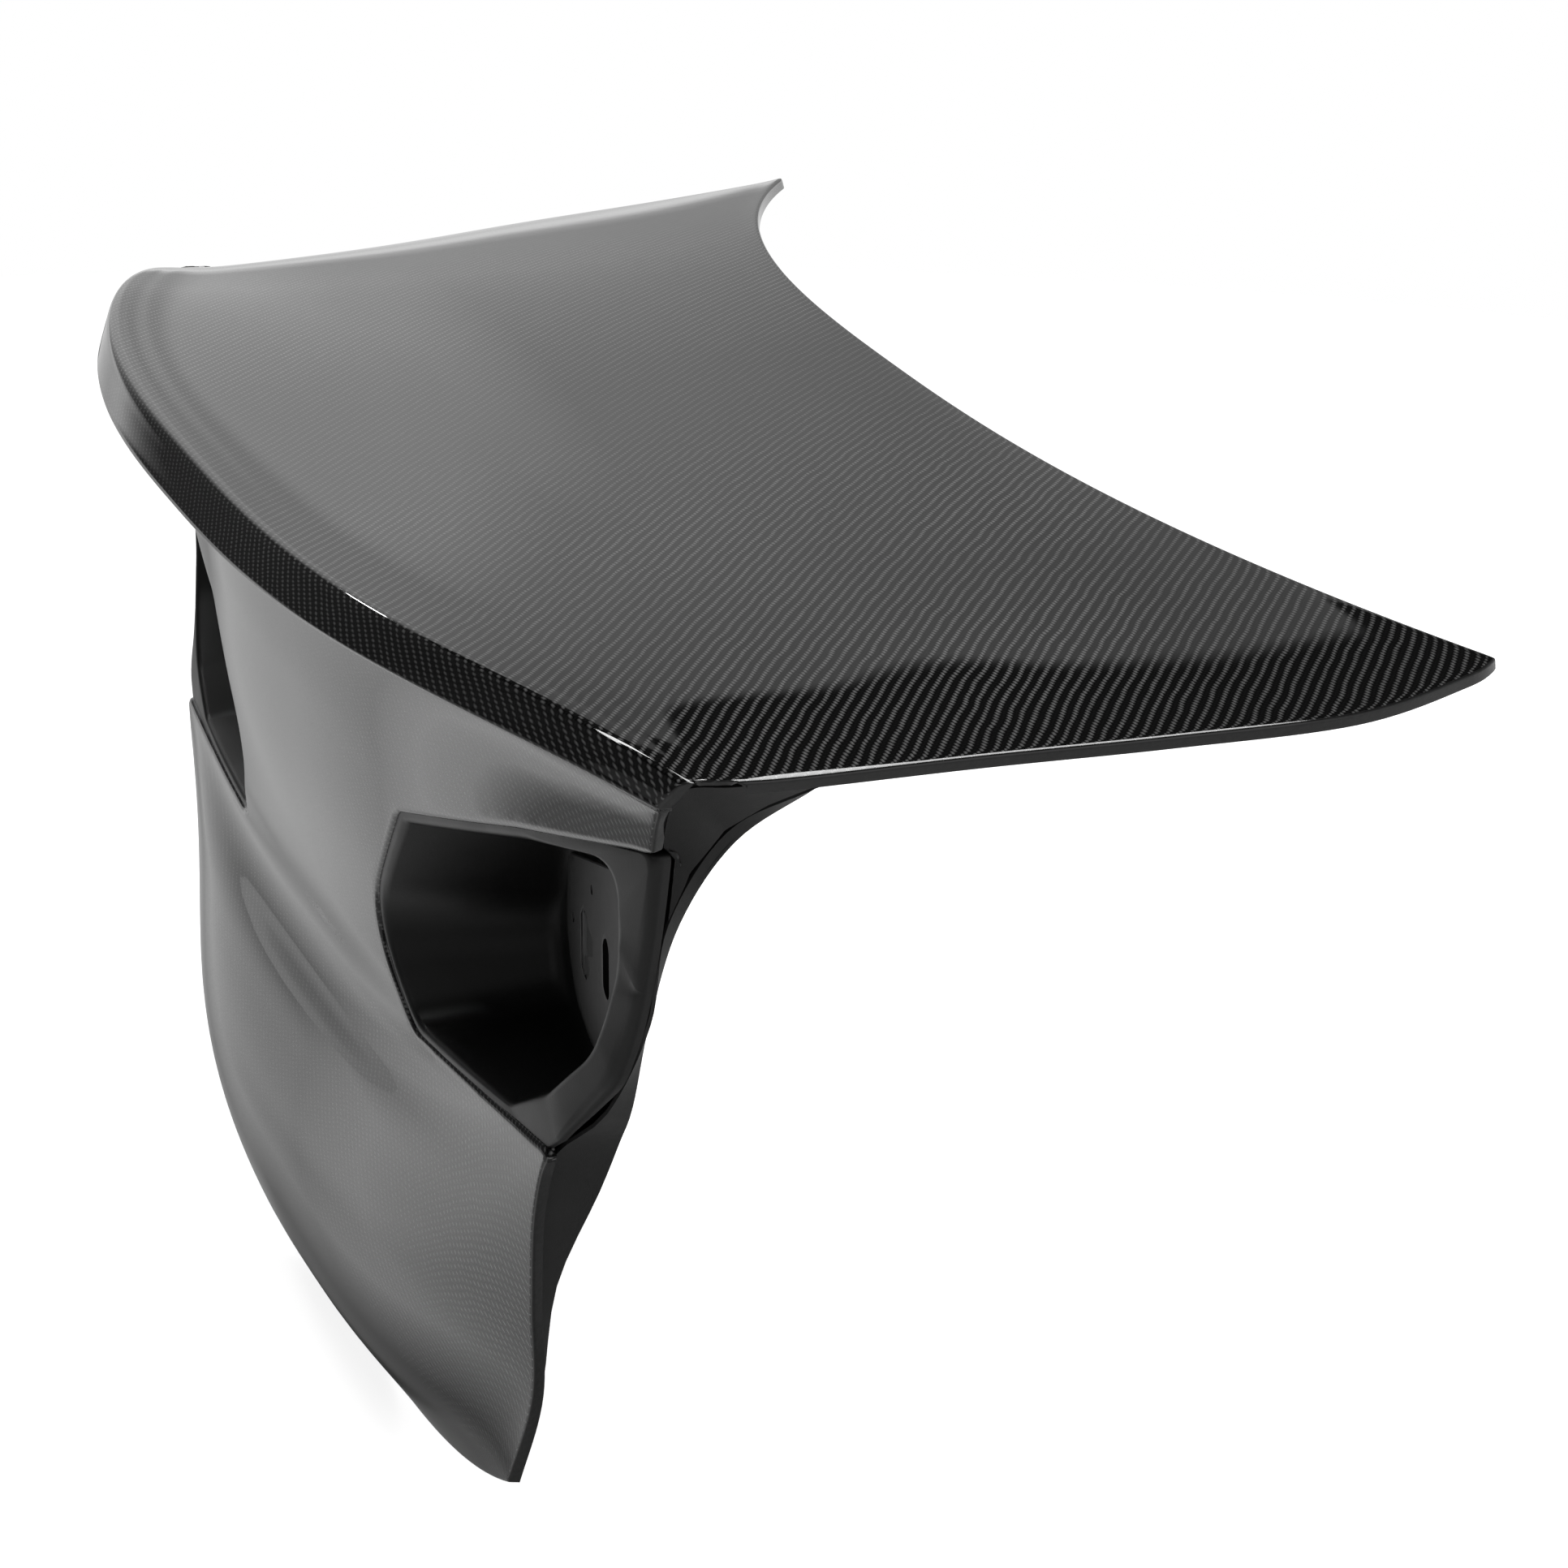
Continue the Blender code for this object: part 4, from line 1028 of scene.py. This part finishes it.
def floor():
    """White disc under the lid: it takes the lid's shadow, and mirrors see on it a painted pool of light
    and a painted shadow of the lid.
    """
    made, tree, shader = new_material("floor")
    shader.inputs["Base Color"].default_value = (FLOOR_GREY, FLOOR_GREY, FLOOR_GREY, 1)
    shader.inputs["Roughness"].default_value = 0.9
    shader.inputs["Specular IOR Level"].default_value = 0.0
    path = add_node(tree, "ShaderNodeLightPath").outputs
    place = add_node(tree, "ShaderNodeTexCoord").outputs["Object"]
    split = add_node(tree, "ShaderNodeSeparateXYZ", (place,)).outputs
    # Painted light for mirrors only: a pool of glow on the floor and a painted shadow of the lid.
    stops = [(metres + 0.5, grey) for metres, grey in MIRRORED_FLOOR_PAINTED_POOL]
    pool = ramp(tree, maths(tree, "ADD", behind_slant(tree, split), 0.5), stops)
    shade = ramp(tree, maths(tree, "MULTIPLY", split[1], -1.0), MIRRORED_FLOOR_PAINTED_SHADOW)
    pool = maths(tree, "MULTIPLY", pool, shade)
    glow = maths(tree, "ADD", maths(tree, "MULTIPLY", seen_directly(tree, path), FLOOR_GLOW),
                 maths(tree, "MULTIPLY", path["Is Glossy Ray"], pool))
    tree.links.new(glow, shader.inputs["Emission Strength"])
    shader.inputs["Emission Color"].default_value = (1, 1, 1, 1)
    bm = bmesh.new()
    bmesh.ops.create_circle(bm, cap_ends=True, segments=96, radius=FLOOR_RADIUS)
    low = min(corner[2] for corner in cad_box)
    bmesh.ops.translate(bm, verts=bm.verts[:], vec=(0, 0, low - FLOOR_DROP))
    mesh = bpy.data.meshes.new("floor")
    bm.to_mesh(mesh)
    bm.free()
    mesh.materials.append(made)
    placed("floor", mesh)


def studio_world():
    """White to the camera; to the lid, a pale wall on its left and front under a dark ceiling."""
    world = bpy.data.worlds.new("studio")
    bpy.context.scene.world = world
    world.use_nodes = True
    tree = world.node_tree
    direction = add_node(tree, "ShaderNodeTexCoord").outputs["Generated"]
    split = add_node(tree, "ShaderNodeSeparateXYZ", (direction,)).outputs
    height = maths(tree, "ADD", maths(tree, "MULTIPLY", split[2], 0.5), 0.5)
    wall = ramp(tree, height, WALL)
    ahead = maths(tree, "ADD", maths(tree, "MULTIPLY", split[1], 0.5), 0.5)
    below = add_node(tree, "ShaderNodeMapRange", (split[2], *HORIZON_FADE, 1.0, 0.0)).outputs[0]
    slant = behind_slant(tree, split)
    left = add_node(tree, "ShaderNodeMapRange", (slant, *LEFT_FADE, 1.0, 0.0)).outputs[0]
    side = maths(tree, "MAXIMUM", ramp(tree, ahead, WALL_ROUND), maths(tree, "MULTIPLY", below, left))
    toned = add_node(tree, "ShaderNodeMix", data_type="RGBA", blend_type="MULTIPLY")
    toned.inputs[0].default_value = 1.0
    tree.links.new(wall, toned.inputs[6])
    tree.links.new(side, toned.inputs[7])
    path = add_node(tree, "ShaderNodeLightPath").outputs
    colour = add_node(tree, "ShaderNodeMix", data_type="RGBA")
    tree.links.new(seen_directly(tree, path), colour.inputs[0])
    tree.links.new(toned.outputs[2], colour.inputs[6])
    colour.inputs[7].default_value = (1, 1, 1, 1)
    tree.links.new(colour.outputs[2], tree.nodes["Background"].inputs["Color"])
    tree.nodes["Background"].inputs["Strength"].default_value = 1.0


def area_light(name, place, target, size, power, mirrored):
    data = bpy.data.lights.new(name, "AREA")
    data.shape = "RECTANGLE"
    data.size, data.size_y = size
    data.energy = power
    lamp = placed(name, data)
    lamp.location = place
    lamp.rotation_euler = (Vector(target) - Vector(place)).to_track_quat("-Z", "Y").to_euler()
    lamp.visible_glossy = mirrored


def camera():
    azimuth, elevation = math.radians(CAMERA_AZIMUTH), math.radians(CAMERA_ELEVATION)
    data = bpy.data.cameras.new("camera")
    data.lens = CAMERA_LENS
    data.sensor_width = CAMERA_SENSOR
    item = placed("camera", data)
    item.location = CAMERA_PLACE
    back = Vector((math.sin(azimuth) * math.cos(elevation), -math.cos(azimuth) * math.cos(elevation),
                   math.sin(elevation)))
    item.rotation_euler = (-back).to_track_quat("-Z", "Y").to_euler()
    bpy.context.scene.camera = item


outer_skin()
for side, name in SIDES:
    pocket(side, name)
    gusset(side, name)
inner_frame()
carried_over()
floor()
studio_world()
for lamp in LAMPS:
    area_light(*lamp)
camera()
bpy.context.scene.view_settings.view_transform = "Standard"
